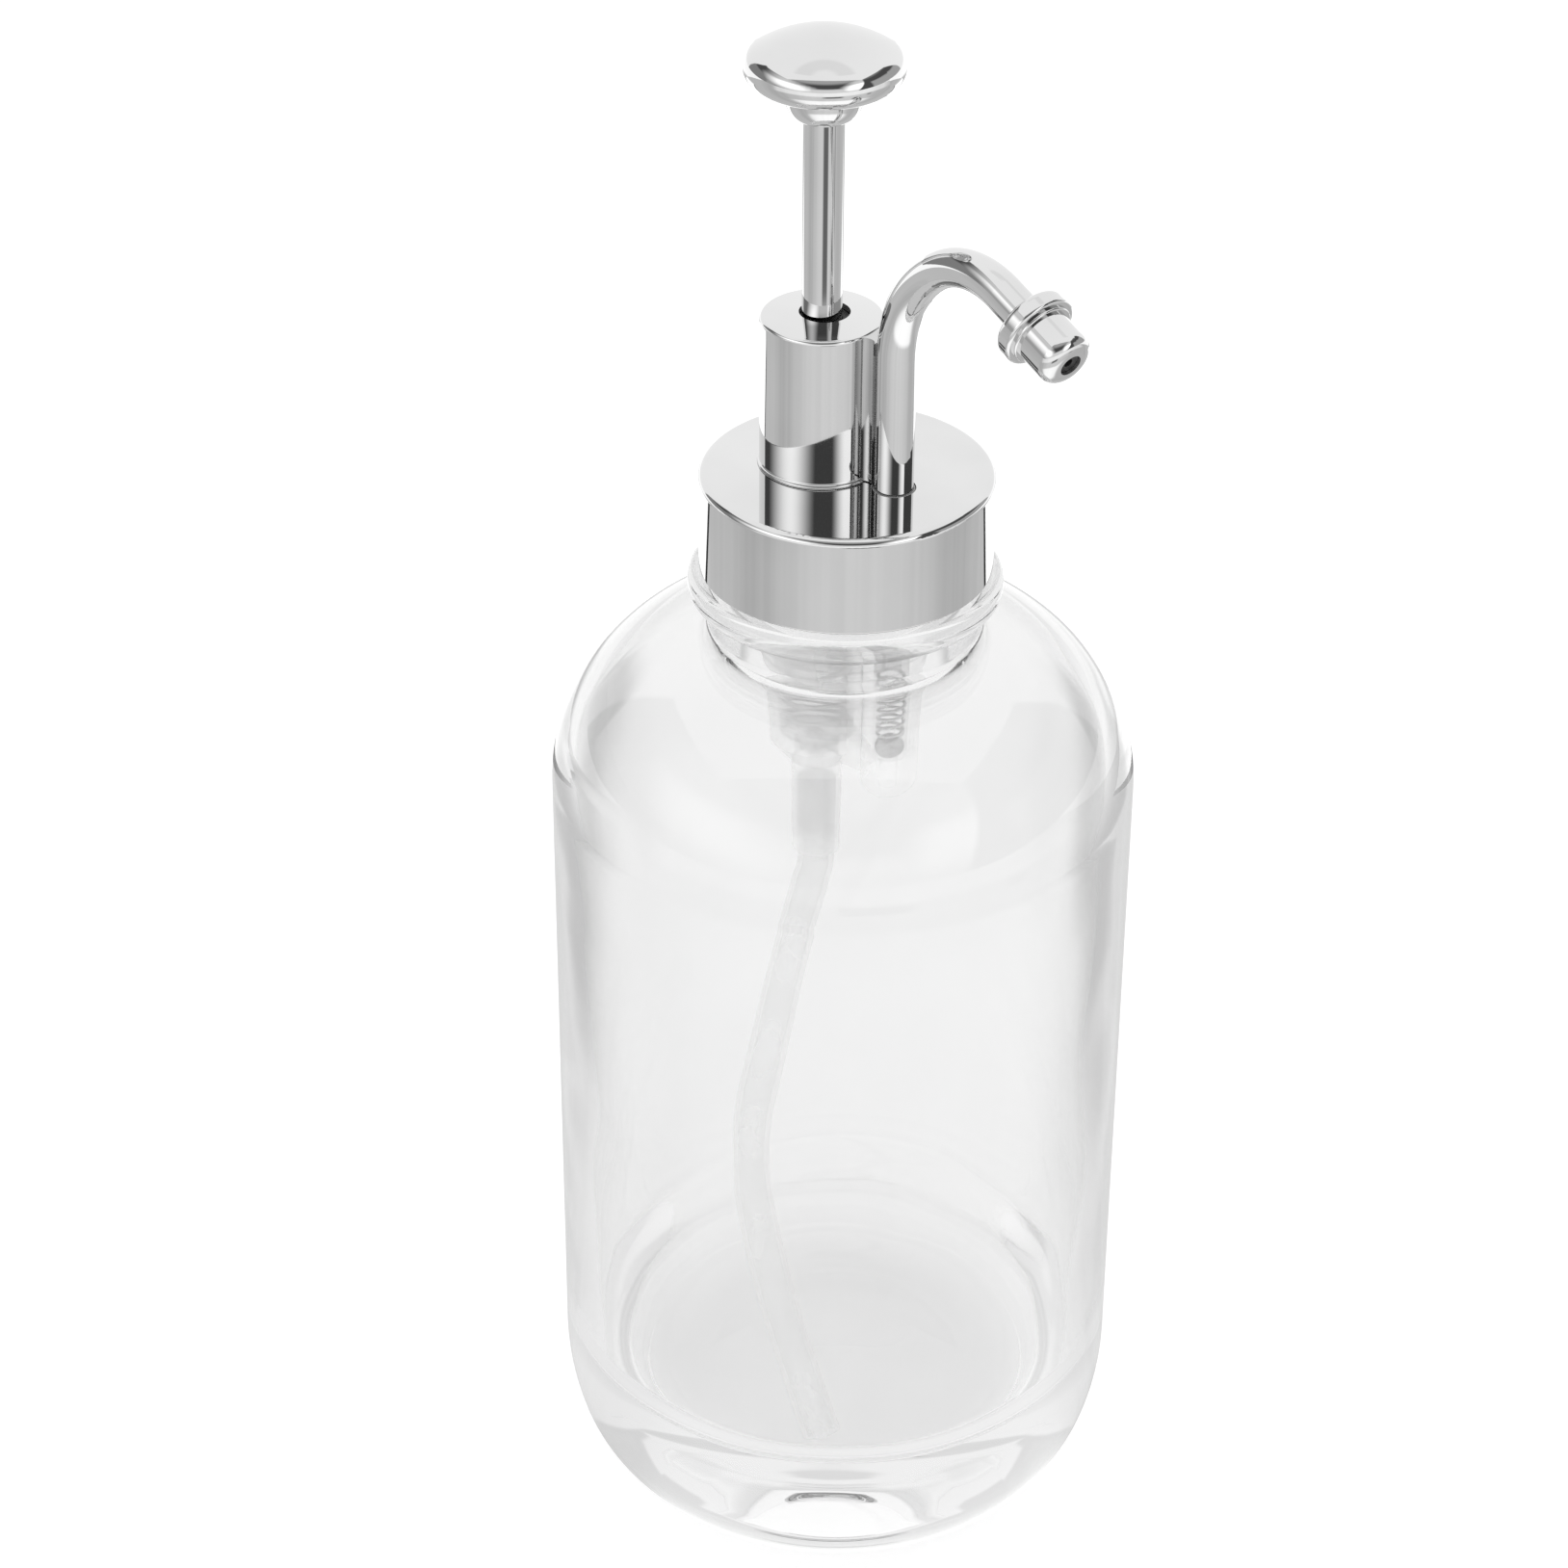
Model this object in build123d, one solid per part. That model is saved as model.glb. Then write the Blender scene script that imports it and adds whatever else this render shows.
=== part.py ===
from build123d import *
import math
import os

# Table-top syrup dispenser: a round glass bottle with a hand pump in its screw cap.
# Millimetres, +Z up.  The origin is the centre of the bottle's base, and +X runs from the
# pump turret towards the foot of the spout.

# ------------------------------------------------------------------ driving dimensions
# bottle, outside
BODY_R = 40.0
HEEL_REACH = 19.5
HEEL_R = 18.8
HEEL_ANGLE = 73.5
SHOULDER_Z = 118.3
SHOULDER_REACH = 26.3
SHOULDER_RISE = 24.7
NECK_R = 18.5
NECK_LENGTH = 4.9
BEAD_R = 21.2
BEAD_HEIGHT = 3.4
BEAD_EDGE = 1.5
FINISH_R = 16.4
FINISH_HEIGHT = 10.9
THREAD_DEPTH = 0.85
THREAD_WIDTH = 1.3
THREAD_PITCH = 4.0
THREAD_TURNS = 2
LIP_ROUND = 0.6

# bottle, inside
WALL = 3.2
FLOOR = 22.0
FLOOR_R = 25.0
FLOOR_CURVE = 8.0
SHOULDER_WALL = 3.4
BORE_R = 14.2
BORE_ROUND = 2.0

# closure
GASKET_T = 1.5
FLANGE_T = 1.5
CAP_R = 19.7
CAP_T = 0.8
CAP_SKIRT = 13.9
CAP_EDGE = 1.0
LINER_T = 1.2
LINER_SETBACK = 0.4

# turret, rod and knob
TURRET_X = -4.5
TURRET_R = 8.15
TURRET_HEIGHT = 21.2
TURRET_EDGE = 0.5
TURRET_TOP_T = 1.6
TURRET_FOOT_T = 0.45
TURRET_FOOT_HEIGHT = 0.7
ROD_R = 2.65
STROKE = 24.0
KNOB_CLEARANCE = 3.6
TOP_HOLE_T = 0.7
TOP_HOLE_SHIFT = (0.27, 0.21)
WIPER_RECESS = 0.4
KNOB_R = 10.4
KNOB_RIM_R = 2.6
KNOB_DOME = 4.7
KNOB_BOWL = 3.9
HUB_R = 5.2
HUB_HEIGHT = 3.7
HUB_TIP_T = 0.35
STUD_R = 2.05
STUD_LENGTH = 4.9
SWIVEL_LENGTH = 5.5

# pump barrel
BARREL_BORE_R = 4.9
BARREL_WALL = 1.4
CHAMBER_DEPTH = 40.3
BARREL_FLOOR_T = 5.0
CONE_HEIGHT = 3.6
CONE_TIP_T = 0.25
DRUM_R = 11.9
DRUM_WALL = 1.2
DRUM_DEPTH = 24.3
DRUM_FLOOR_T = 1.6
DRUM_STEP = 0.4
DRUM_STEP_HEIGHT = 1.6
GUIDE_LENGTH = 5.0
GUIDE_FLANGE_T = 0.9
PISTON_LENGTH = 9.0
SEAL_WIRE = 1.0
SPRING_WIRE = 0.9
SPRING_GAP = 0.6
SPRING_TURNS = 12

# intake valve and dip tube
SOCKET_WALL = 0.75
SOCKET_LENGTH = 16.1
SPIGOT_DROP = 1.2
SPIGOT_R = 2.95
BALL_R = 2.0
SEAT_R = 1.2
SEAT_DEPTH = 3.1
INTAKE_LIFT = 0.8
CAGE_T = 1.1
CAGE_RIM = 0.7
CAGE_HOLES = 4
CAGE_HOLE_R = 0.75
TUBE_R = 2.65
TUBE_WALL = 0.75
TUBE_GRIP = 12.4
TUBE_KINK_DROP = 3.5
TUBE_END_INSET = 8.2
TUBE_END_ANGLE = -55.0
TUBE_END_LIFT = 3.1
# corners of the tube's route, as shares of its drop and of its reach along X and Y
TUBE_ROUTE = [
    (0.197, -0.077, 0.171),
    (0.344, -0.067, 0.350),
    (0.484, -0.038, 0.568),
    (0.593, 0.077, 0.709),
    (0.714, 0.321, 0.821),
    (0.861, 0.665, 0.923),
    (1.0, 1.0, 1.0),
]

# outlet valve
SPOUT_X = 7.8
SIDE_R = 3.85
SIDE_BORE_R = 2.3
SIDE_DROP = 7.0
SIDE_SUMP = 5.2
OUTLET_SPRING_LENGTH = 10.0
OUTLET_WIRE = 0.5
OUTLET_SPRING_GAP = 0.35
OUTLET_TURNS = 7
SLEEVE_BORE_R = 1.3
PASSAGE_R = 0.9
PASSAGE_LIFT = 3.9
PASSAGE_DROP = 4.5
WEB_T = 2.8
WEB_DROP = 3.5
BOSS_R = 4.7
SPOUT_SEAL_WIRE = 0.95

# spout and nozzle
SPOUT_R = 2.6
SPOUT_WALL = 0.9
SPOUT_TURN = -13.0
SPOUT_GRIP = 12.3
SPOUT_RISE = 19.1
FIRST_BEND_R = 18.4
FIRST_BEND = 56.0
SECOND_BEND_R = 13.6
SPOUT_DROOP = 20.4
SPOUT_TAIL = 4.9
CAP_HOLE_GAP = 0.35
RIB_T = 2.4
RIB_LIFT = 0.9
RIB_DROP = 0.25
COLLAR_R = 5.1
COLLAR_T = 2.6
COLLAR_LIP_R = 4.3
COLLAR_LIP_T = 0.5
COLLAR_BACK_EDGE = 0.9
COLLAR_EDGE = 0.45
TIP_R = 3.73
TIP_LENGTH = 6.1
TIP_EDGE = 1.7
TIP_BORE_R = 2.2
TIP_GRIP = 2.0
OUTLET_R = 1.5
OUTLET_WALL = 0.9
VALVE_LENGTH = 2.2
VALVE_NOSE = 0.4
VALVE_HOLE_R = 0.6

# clearances
FIT = 0.05
RUNNING = 0.07
SEAL_RUNNING = 0.03
LOOSE = 0.35
SEATED = 0.02

# ------------------------------------------------------------------ sizes worked out
FOOT_R = BODY_R - HEEL_REACH
NECK_Z = SHOULDER_Z + SHOULDER_RISE * math.sqrt(
    1 - ((NECK_R - BODY_R + SHOULDER_REACH) / SHOULDER_REACH) ** 2
)
BEAD_Z = NECK_Z + NECK_LENGTH
FINISH_Z = BEAD_Z + BEAD_HEIGHT
LIP_Z = FINISH_Z + FINISH_HEIGHT
FLANGE_Z = LIP_Z + GASKET_T
UNDER_CAP_Z = FLANGE_Z + FLANGE_T
CAP_Z = UNDER_CAP_Z + CAP_T
SKIRT_Z = CAP_Z - CAP_SKIRT
LINER_BORE_R = FINISH_R + THREAD_DEPTH + LOOSE
CAP_BORE_R = CAP_R - CAP_T
LINER_R = CAP_BORE_R - FIT
FLANGE_R = LINER_BORE_R - LOOSE
SEAL_INNER_R = DRUM_R + LOOSE

TURRET_Z = CAP_Z + TURRET_HEIGHT
BARREL_R = BARREL_BORE_R + BARREL_WALL
TOP_HOLE_R = ROD_R + TOP_HOLE_T
GUIDE_Z = TURRET_Z - TURRET_TOP_T
BARREL_TOP_Z = GUIDE_Z - GUIDE_FLANGE_T
PISTON_TOP_Z = BARREL_TOP_Z - GUIDE_LENGTH - SEATED
PISTON_Z = PISTON_TOP_Z - PISTON_LENGTH
SWIVEL_Z = PISTON_TOP_Z - SWIVEL_LENGTH
PISTON_R = BARREL_BORE_R - RUNNING
PISTON_GROOVE_Z = PISTON_Z + PISTON_LENGTH / 4
SEAL_R = BARREL_BORE_R - SEAL_RUNNING
HUB_Z = TURRET_Z + STROKE + KNOB_CLEARANCE
KNOB_SEAT_Z = HUB_Z + HUB_HEIGHT
KNOB_RIM_X = KNOB_R - KNOB_RIM_R
BOWL_SINK = (KNOB_RIM_X**2 - (KNOB_BOWL - KNOB_RIM_R) ** 2) / (2 * (KNOB_BOWL - KNOB_RIM_R))
DOME_SINK = (KNOB_RIM_X**2 - (KNOB_DOME - KNOB_RIM_R) ** 2) / (2 * (KNOB_DOME - KNOB_RIM_R))
KNOB_MID_Z = KNOB_SEAT_Z - BOWL_SINK + math.sqrt((KNOB_BOWL + BOWL_SINK) ** 2 - HUB_R**2)
STUD_Z = KNOB_SEAT_Z + STUD_LENGTH

CHAMBER_Z = UNDER_CAP_Z - CHAMBER_DEPTH
BARREL_Z = CHAMBER_Z - BARREL_FLOOR_T
DRUM_Z = FLANGE_Z - DRUM_DEPTH
SPIGOT_Z = CHAMBER_Z - SPIGOT_DROP
SOCKET_R = TUBE_R + FIT + SOCKET_WALL
SOCKET_Z = BARREL_Z - SOCKET_LENGTH
TUBE_TOP_Z = SOCKET_Z + TUBE_GRIP
BALL_RISE = math.sqrt(BALL_R**2 - SEAT_R**2) + SEATED
INTAKE_SEAT_Z = CHAMBER_Z - SEAT_DEPTH
INTAKE_BALL_Z = INTAKE_SEAT_Z + BALL_RISE
CAGE_ROOF_Z = INTAKE_BALL_Z + BALL_R + INTAKE_LIFT + RUNNING
CAGE_TOP_Z = CAGE_ROOF_Z + CAGE_T
OUTLET_SEAT_Z = CHAMBER_Z
OUTLET_BALL_Z = OUTLET_SEAT_Z + BALL_RISE
SIDE_Z = CHAMBER_Z - SIDE_DROP
OUTLET_SPRING_Z = OUTLET_BALL_Z + BALL_R
SLEEVE_Z = OUTLET_SPRING_Z + OUTLET_SPRING_LENGTH
SPOUT_Z = UNDER_CAP_Z - SPOUT_GRIP
SPOUT_SOCKET_R = SPOUT_R + FIT
BEND_Z = CAP_Z + SPOUT_RISE

STANDING = (Align.CENTER, Align.CENTER, Align.MIN)


# ------------------------------------------------------------------ shapes used throughout
def disc(radius, bottom, top, x=0.0, y=0.0):
    """Upright cylinder between two levels."""
    return Pos(x, y, bottom) * Cylinder(radius, top - bottom, align=STANDING)


def ring(outer, inner, bottom, top, x=0.0, y=0.0):
    """Upright tube between two levels."""
    return disc(outer, bottom, top, x, y) - disc(inner, bottom, top, x, y)


def turned(*edges):
    """Solid of revolution about Z from a closed outline of (radius, height) edges."""
    return revolve(Plane.XZ * make_face(Wire(list(edges))), Axis.Z)


def rims(part, radius, height):
    """The circular edges of one radius at one level."""
    found = part.edges().filter_by(GeomType.CIRCLE)
    return found.filter_by(
        lambda edge: abs(edge.radius - radius) < 1e-4 and abs(edge.center().Z - height) < 1e-4
    )


def coil(mean_r, wire, bottom, top, turns, x):
    """Round-wire compression spring standing between two levels."""
    rise = top - bottom - wire - 2 * SEATED
    path = Helix(pitch=rise / turns, height=rise, radius=mean_r)
    section = Plane(origin=path @ 0, z_dir=path % 0) * Circle(wire / 2)
    spring = sweep(section, path=path, is_frenet=True)
    return Pos(x, 0, bottom + wire / 2 + SEATED) * spring


def o_ring(inner, wire, middle, x=0.0):
    """Rubber ring of round section lying flat."""
    return Pos(x, 0, middle) * Torus(inner + wire / 2, wire / 2)


# ------------------------------------------------------------------ bottle
def bottle_body():
    """Outside of the bottle up to the foot of its neck."""
    heel_r = FOOT_R + HEEL_R * math.sin(math.radians(HEEL_ANGLE))
    side_r = (BODY_R - heel_r) / (1 - math.sin(math.radians(HEEL_ANGLE)))
    heel = CenterArc((FOOT_R, HEEL_R), HEEL_R, -90, HEEL_ANGLE)
    side_z = (heel @ 1).Y + side_r * math.cos(math.radians(HEEL_ANGLE))
    side = CenterArc((BODY_R - side_r, side_z), side_r, HEEL_ANGLE - 90, 90 - HEEL_ANGLE)
    shoulder = EllipticalCenterArc(
        (BODY_R - SHOULDER_REACH, SHOULDER_Z), SHOULDER_REACH, SHOULDER_RISE, arc_size=90
    )
    return turned(
        Line((0, 0), heel @ 0),
        heel,
        side,
        Line(side @ 1, shoulder @ 0),
        shoulder,
        Line(shoulder @ 1, (0, SHOULDER_Z + SHOULDER_RISE)),
        Line((0, SHOULDER_Z + SHOULDER_RISE), (0, 0)),
    )


def bottle_cavity():
    """Inside of the bottle, from its thick floor up through the neck."""
    inner_r = BODY_R - WALL
    crown_z = SHOULDER_Z + SHOULDER_RISE - SHOULDER_WALL
    crown_r = BORE_R + BORE_ROUND
    corner = EllipticalCenterArc(
        (FLOOR_R, FLOOR + FLOOR_CURVE), inner_r - FLOOR_R, FLOOR_CURVE, -90, arc_size=90
    )
    shoulder = EllipticalCenterArc(
        (crown_r, SHOULDER_Z), inner_r - crown_r, crown_z - SHOULDER_Z, arc_size=90
    )
    throat = CenterArc((crown_r, crown_z + BORE_ROUND), BORE_ROUND, -90, -90)
    return turned(
        Line((0, FLOOR), corner @ 0),
        corner,
        Line(corner @ 1, shoulder @ 0),
        shoulder,
        throat,
        Line(throat @ 1, (BORE_R, LIP_Z)),
        Line((BORE_R, LIP_Z), (0, LIP_Z)),
        Line((0, LIP_Z), (0, FLOOR)),
    )


def thread_ridge(level):
    """One turn of the neck's thread, as a round ridge."""
    slope = THREAD_DEPTH / 2
    tip = FINISH_R + THREAD_DEPTH
    half = THREAD_WIDTH / 2
    points = [
        (BORE_R + LIP_ROUND, level - half - slope),
        (FINISH_R, level - half - slope),
        (tip, level - half),
        (tip, level + half),
        (FINISH_R, level + half + slope),
        (BORE_R + LIP_ROUND, level + half + slope),
    ]
    return turned(*Polyline(*points, close=True).edges())


def make_bottle():
    bead = disc(BEAD_R, BEAD_Z, FINISH_Z)
    bead = fillet(rims(bead, BEAD_R, BEAD_Z) + rims(bead, BEAD_R, FINISH_Z), BEAD_EDGE)
    glass = bottle_body() + disc(NECK_R, SHOULDER_Z, BEAD_Z) + bead
    glass += disc(FINISH_R, BEAD_Z, LIP_Z)
    for turn in range(THREAD_TURNS):
        glass += thread_ridge(LIP_Z - THREAD_PITCH * (turn + 0.75))
    glass -= bottle_cavity()
    return fillet(rims(glass, FINISH_R, LIP_Z) + rims(glass, BORE_R, LIP_Z), LIP_ROUND)


# ------------------------------------------------------------------ closure
def make_neck_gasket():
    return ring(FLANGE_R, SEAL_INNER_R, LIP_Z, FLANGE_Z)


def make_cap_shell():
    shell = disc(CAP_R, SKIRT_Z, CAP_Z)
    shell = fillet(rims(shell, CAP_R, CAP_Z), CAP_EDGE)
    shell -= disc(CAP_BORE_R, SKIRT_Z, UNDER_CAP_Z)
    shell -= disc(BARREL_R + FIT, UNDER_CAP_Z, CAP_Z, TURRET_X)
    shell -= disc(SPOUT_R + CAP_HOLE_GAP, UNDER_CAP_Z, CAP_Z, SPOUT_X)
    return fillet(rims(shell, CAP_R, SKIRT_Z), CAP_T * 0.4)


def make_cap_liner():
    liner = ring(LINER_R, LINER_BORE_R, SKIRT_Z + LINER_SETBACK, UNDER_CAP_Z)
    return chamfer(rims(liner, LINER_BORE_R, SKIRT_Z + LINER_SETBACK), LINER_T * 0.4)


# ------------------------------------------------------------------ turret and spout
def spout_line():
    """Centre line of the spout, drawn in the plane of its bend from (0, SPOUT_Z)."""
    rise = Line((0, SPOUT_Z), (0, BEND_Z))
    first = CenterArc((FIRST_BEND_R, BEND_Z), FIRST_BEND_R, 180, -FIRST_BEND)
    turn = math.radians(FIRST_BEND)
    second_x = FIRST_BEND_R - (FIRST_BEND_R - SECOND_BEND_R) * math.cos(turn)
    second_z = BEND_Z + (FIRST_BEND_R - SECOND_BEND_R) * math.sin(turn)
    rest = 90 + SPOUT_DROOP - FIRST_BEND
    second = CenterArc((second_x, second_z), SECOND_BEND_R, 180 - FIRST_BEND, -rest)
    droop = math.radians(SPOUT_DROOP)
    tail = (second @ 1) + Vector(math.cos(droop), -math.sin(droop)) * SPOUT_TAIL
    return [rise, first, second, Line(second @ 1, tail)]


def bend_plane():
    """Upright plane that the spout is bent in, with its origin under the spout's foot."""
    turn = math.radians(SPOUT_TURN)
    along = Vector(math.cos(turn), math.sin(turn), 0)
    return Plane(origin=(SPOUT_X, 0, 0), x_dir=along, z_dir=along.cross(Vector(0, 0, 1)))


def nozzle_frame():
    """Plane at the back of the collar, with +Z along the flow."""
    end = spout_line()[-1]
    plane = bend_plane()
    start = plane.from_local_coords(end @ 1)
    flow = start - plane.from_local_coords(end @ 0)
    return Plane(origin=start, z_dir=flow.normalized())


def make_spout_tube():
    tail = spout_line()[-1]
    length = COLLAR_T + COLLAR_LIP_T + TIP_GRIP
    inside = Line(tail @ 1, (tail @ 1) + (tail % 1) * length)
    path = bend_plane() * Wire(spout_line() + [inside])
    foot = Pos(SPOUT_X, 0, SPOUT_Z)
    outer = sweep(foot * Circle(SPOUT_R), path=path)
    inner = sweep(foot * Circle(SPOUT_R - SPOUT_WALL), path=path)
    return outer - inner


def make_pump_housing():
    foot_top = CAP_Z + TURRET_FOOT_HEIGHT
    turret = disc(TURRET_R, CAP_Z, TURRET_Z, TURRET_X)
    turret = fillet(rims(turret, TURRET_R, TURRET_Z), TURRET_EDGE)
    foot = disc(TURRET_R + TURRET_FOOT_T, CAP_Z, foot_top, TURRET_X)
    foot = fillet(rims(foot, TURRET_R + TURRET_FOOT_T, foot_top), TURRET_FOOT_T * 0.6)
    low, high = CAP_Z + RIB_LIFT, TURRET_Z - RIB_DROP
    span = SPOUT_X - TURRET_X
    rib = Pos(TURRET_X + span / 2, 0, (low + high) / 2) * Box(span, RIB_T, high - low)
    casting = turret + foot + rib
    casting -= disc(SPOUT_R + SEATED, CAP_Z, TURRET_Z, SPOUT_X)
    far_side = Pos(SPOUT_X + SPOUT_R, 0, (low + high) / 2)
    casting -= far_side * Box(2 * SPOUT_R, 2 * RIB_T, TURRET_HEIGHT)
    casting -= disc(BARREL_R + FIT, CAP_Z, GUIDE_Z, TURRET_X)
    shift_x, shift_y = TOP_HOLE_SHIFT
    return casting - disc(TOP_HOLE_R, GUIDE_Z, TURRET_Z, TURRET_X + shift_x, shift_y)


def make_nozzle_collar():
    back = disc(COLLAR_R, 0, COLLAR_T)
    back = fillet(rims(back, COLLAR_R, 0), COLLAR_BACK_EDGE)
    back = fillet(rims(back, COLLAR_R, COLLAR_T), COLLAR_EDGE)
    lip = disc(COLLAR_LIP_R, COLLAR_T, COLLAR_T + COLLAR_LIP_T)
    lip = fillet(rims(lip, COLLAR_LIP_R, COLLAR_T + COLLAR_LIP_T), COLLAR_LIP_T * 0.5)
    collar = back + lip - disc(SPOUT_R + FIT, 0, COLLAR_T + COLLAR_LIP_T)
    return nozzle_frame() * collar


def make_nozzle_tip():
    low = COLLAR_T + COLLAR_LIP_T
    high = COLLAR_T + TIP_LENGTH
    tip = disc(TIP_R, low, high)
    tip = fillet(rims(tip, TIP_R, high), TIP_EDGE)
    tip -= disc(SPOUT_R + FIT, low, low + TIP_GRIP + FIT)
    tip -= disc(TIP_BORE_R, low + TIP_GRIP, high - OUTLET_WALL)
    tip -= disc(OUTLET_R, high - OUTLET_WALL, high)
    return nozzle_frame() * tip


def make_nozzle_valve():
    seat = COLLAR_T + TIP_LENGTH - OUTLET_WALL
    valve = disc(TIP_BORE_R - FIT, seat - VALVE_LENGTH, seat)
    valve += disc(OUTLET_R - FIT, seat, seat + VALVE_NOSE)
    valve -= disc(VALVE_HOLE_R, seat - VALVE_LENGTH, seat + VALVE_NOSE)
    return nozzle_frame() * valve


def make_spout_seal():
    middle = UNDER_CAP_Z - SPOUT_SEAL_WIRE / 2 - FIT
    return o_ring(SPOUT_SOCKET_R, SPOUT_SEAL_WIRE, middle, SPOUT_X)


# ------------------------------------------------------------------ knob, rod and piston
def make_knob():
    bore = STUD_R + FIT
    bowl_r = KNOB_BOWL + BOWL_SINK
    seat_angle = math.degrees(math.acos(HUB_R / bowl_r))
    bowl_angle = math.degrees(math.atan2(BOWL_SINK, KNOB_RIM_X))
    dome_angle = math.degrees(math.atan2(DOME_SINK, KNOB_RIM_X))
    bowl = CenterArc((0, KNOB_MID_Z + BOWL_SINK), bowl_r, -seat_angle, seat_angle - bowl_angle)
    rim = CenterArc((KNOB_RIM_X, KNOB_MID_Z), KNOB_RIM_R, -bowl_angle, bowl_angle + dome_angle)
    dome_r = KNOB_DOME + DOME_SINK
    dome = CenterArc((0, KNOB_MID_Z - DOME_SINK), dome_r, dome_angle, 90 - dome_angle)
    knob = turned(
        bowl,
        rim,
        dome,
        Line(dome @ 1, (0, STUD_Z + FIT)),
        Line((0, STUD_Z + FIT), (bore, STUD_Z + FIT)),
        Line((bore, STUD_Z + FIT), (bore, KNOB_SEAT_Z)),
        Line((bore, KNOB_SEAT_Z), bowl @ 0),
    )
    return Pos(TURRET_X, 0, 0) * knob


def make_knob_hub():
    bore = ROD_R + FIT
    tip = bore + HUB_TIP_T
    bowl = EllipticalCenterArc((tip, KNOB_SEAT_Z), HUB_R - tip, HUB_HEIGHT, -90, arc_size=90)
    hub = turned(
        bowl,
        Line(bowl @ 1, (bore, KNOB_SEAT_Z)),
        Line((bore, KNOB_SEAT_Z), (bore, HUB_Z)),
        Line((bore, HUB_Z), bowl @ 0),
    )
    return Pos(TURRET_X, 0, 0) * hub


def make_plunger_rod():
    rod = disc(ROD_R, PISTON_TOP_Z, KNOB_SEAT_Z)
    rod += disc(STUD_R, KNOB_SEAT_Z, STUD_Z)
    rod += disc(STUD_R, SWIVEL_Z + FIT, PISTON_TOP_Z)
    return Pos(TURRET_X, 0, 0) * rod


def make_rod_wiper():
    low, high = GUIDE_Z, TURRET_Z - WIPER_RECESS
    shift_x, shift_y = TOP_HOLE_SHIFT
    wiper = disc(TOP_HOLE_R - FIT, low, high, TURRET_X + shift_x, shift_y)
    return wiper - disc(ROD_R + RUNNING, low, high, TURRET_X)


def make_rod_guide():
    guide = disc(BARREL_R, BARREL_TOP_Z, GUIDE_Z)
    guide += disc(BARREL_BORE_R - FIT, BARREL_TOP_Z - GUIDE_LENGTH, BARREL_TOP_Z)
    guide -= disc(ROD_R + RUNNING, BARREL_TOP_Z - GUIDE_LENGTH, GUIDE_Z)
    return Pos(TURRET_X, 0, 0) * guide


def make_piston():
    piston = disc(PISTON_R, PISTON_Z, PISTON_TOP_Z)
    groove_r = SEAL_R - SEAL_WIRE - FIT
    half = SEAL_WIRE / 2 + FIT
    piston -= ring(BARREL_BORE_R, groove_r, PISTON_GROOVE_Z - half, PISTON_GROOVE_Z + half)
    piston -= disc(STUD_R + RUNNING, SWIVEL_Z, PISTON_TOP_Z)
    return Pos(TURRET_X, 0, 0) * piston


def make_piston_seal():
    return o_ring(SEAL_R - SEAL_WIRE, SEAL_WIRE, PISTON_GROOVE_Z, TURRET_X)


def make_return_spring():
    mean_r = BARREL_BORE_R - SPRING_GAP - SPRING_WIRE / 2
    return coil(mean_r, SPRING_WIRE, CAGE_TOP_Z, PISTON_Z, SPRING_TURNS, TURRET_X)


# ------------------------------------------------------------------ pump barrel and valves
def drum():
    """Cup that fills the bottle's neck, with the sealing flange round its rim."""
    cup = disc(DRUM_R, DRUM_Z + 2 * DRUM_STEP_HEIGHT, UNDER_CAP_Z)
    cup += disc(DRUM_R - DRUM_STEP, DRUM_Z + DRUM_STEP_HEIGHT, DRUM_Z + 2 * DRUM_STEP_HEIGHT)
    cup += disc(DRUM_R - 2 * DRUM_STEP, DRUM_Z, DRUM_Z + DRUM_STEP_HEIGHT)
    cup += disc(FLANGE_R, FLANGE_Z, UNDER_CAP_Z)
    return cup - disc(DRUM_R - DRUM_WALL - 2 * DRUM_STEP, DRUM_Z + DRUM_FLOOR_T, UNDER_CAP_Z)


def side_chamber():
    """Outside of the outlet valve's chamber, with its round end and its boss in the flange."""
    chamber = disc(SIDE_R, SIDE_Z + SIDE_R, UNDER_CAP_Z, SPOUT_X)
    chamber += Pos(SPOUT_X, 0, SIDE_Z + SIDE_R) * Sphere(SIDE_R)
    return chamber + disc(BOSS_R, FLANGE_Z, UNDER_CAP_Z, SPOUT_X)


def barrel_outside():
    """Outside of the main barrel, tapering to the dip-tube socket."""
    cone = Cone(SOCKET_R + CONE_TIP_T, BARREL_R, CONE_HEIGHT, align=STANDING)
    barrel = Pos(TURRET_X, 0, BARREL_Z) * cone
    return barrel + disc(BARREL_R, BARREL_Z + CONE_HEIGHT, BARREL_TOP_Z, TURRET_X)


def passage():
    """Slanting duct from the barrel to the space below the outlet ball."""
    start = Vector(TURRET_X + BARREL_BORE_R - PASSAGE_R, 0, CHAMBER_Z + PASSAGE_LIFT)
    end = Vector(SPOUT_X, 0, OUTLET_SEAT_Z - PASSAGE_DROP)
    along = end - start
    duct = Cylinder(PASSAGE_R, along.length, align=STANDING)
    return Plane(origin=start, z_dir=along.normalized()) * duct


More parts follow.
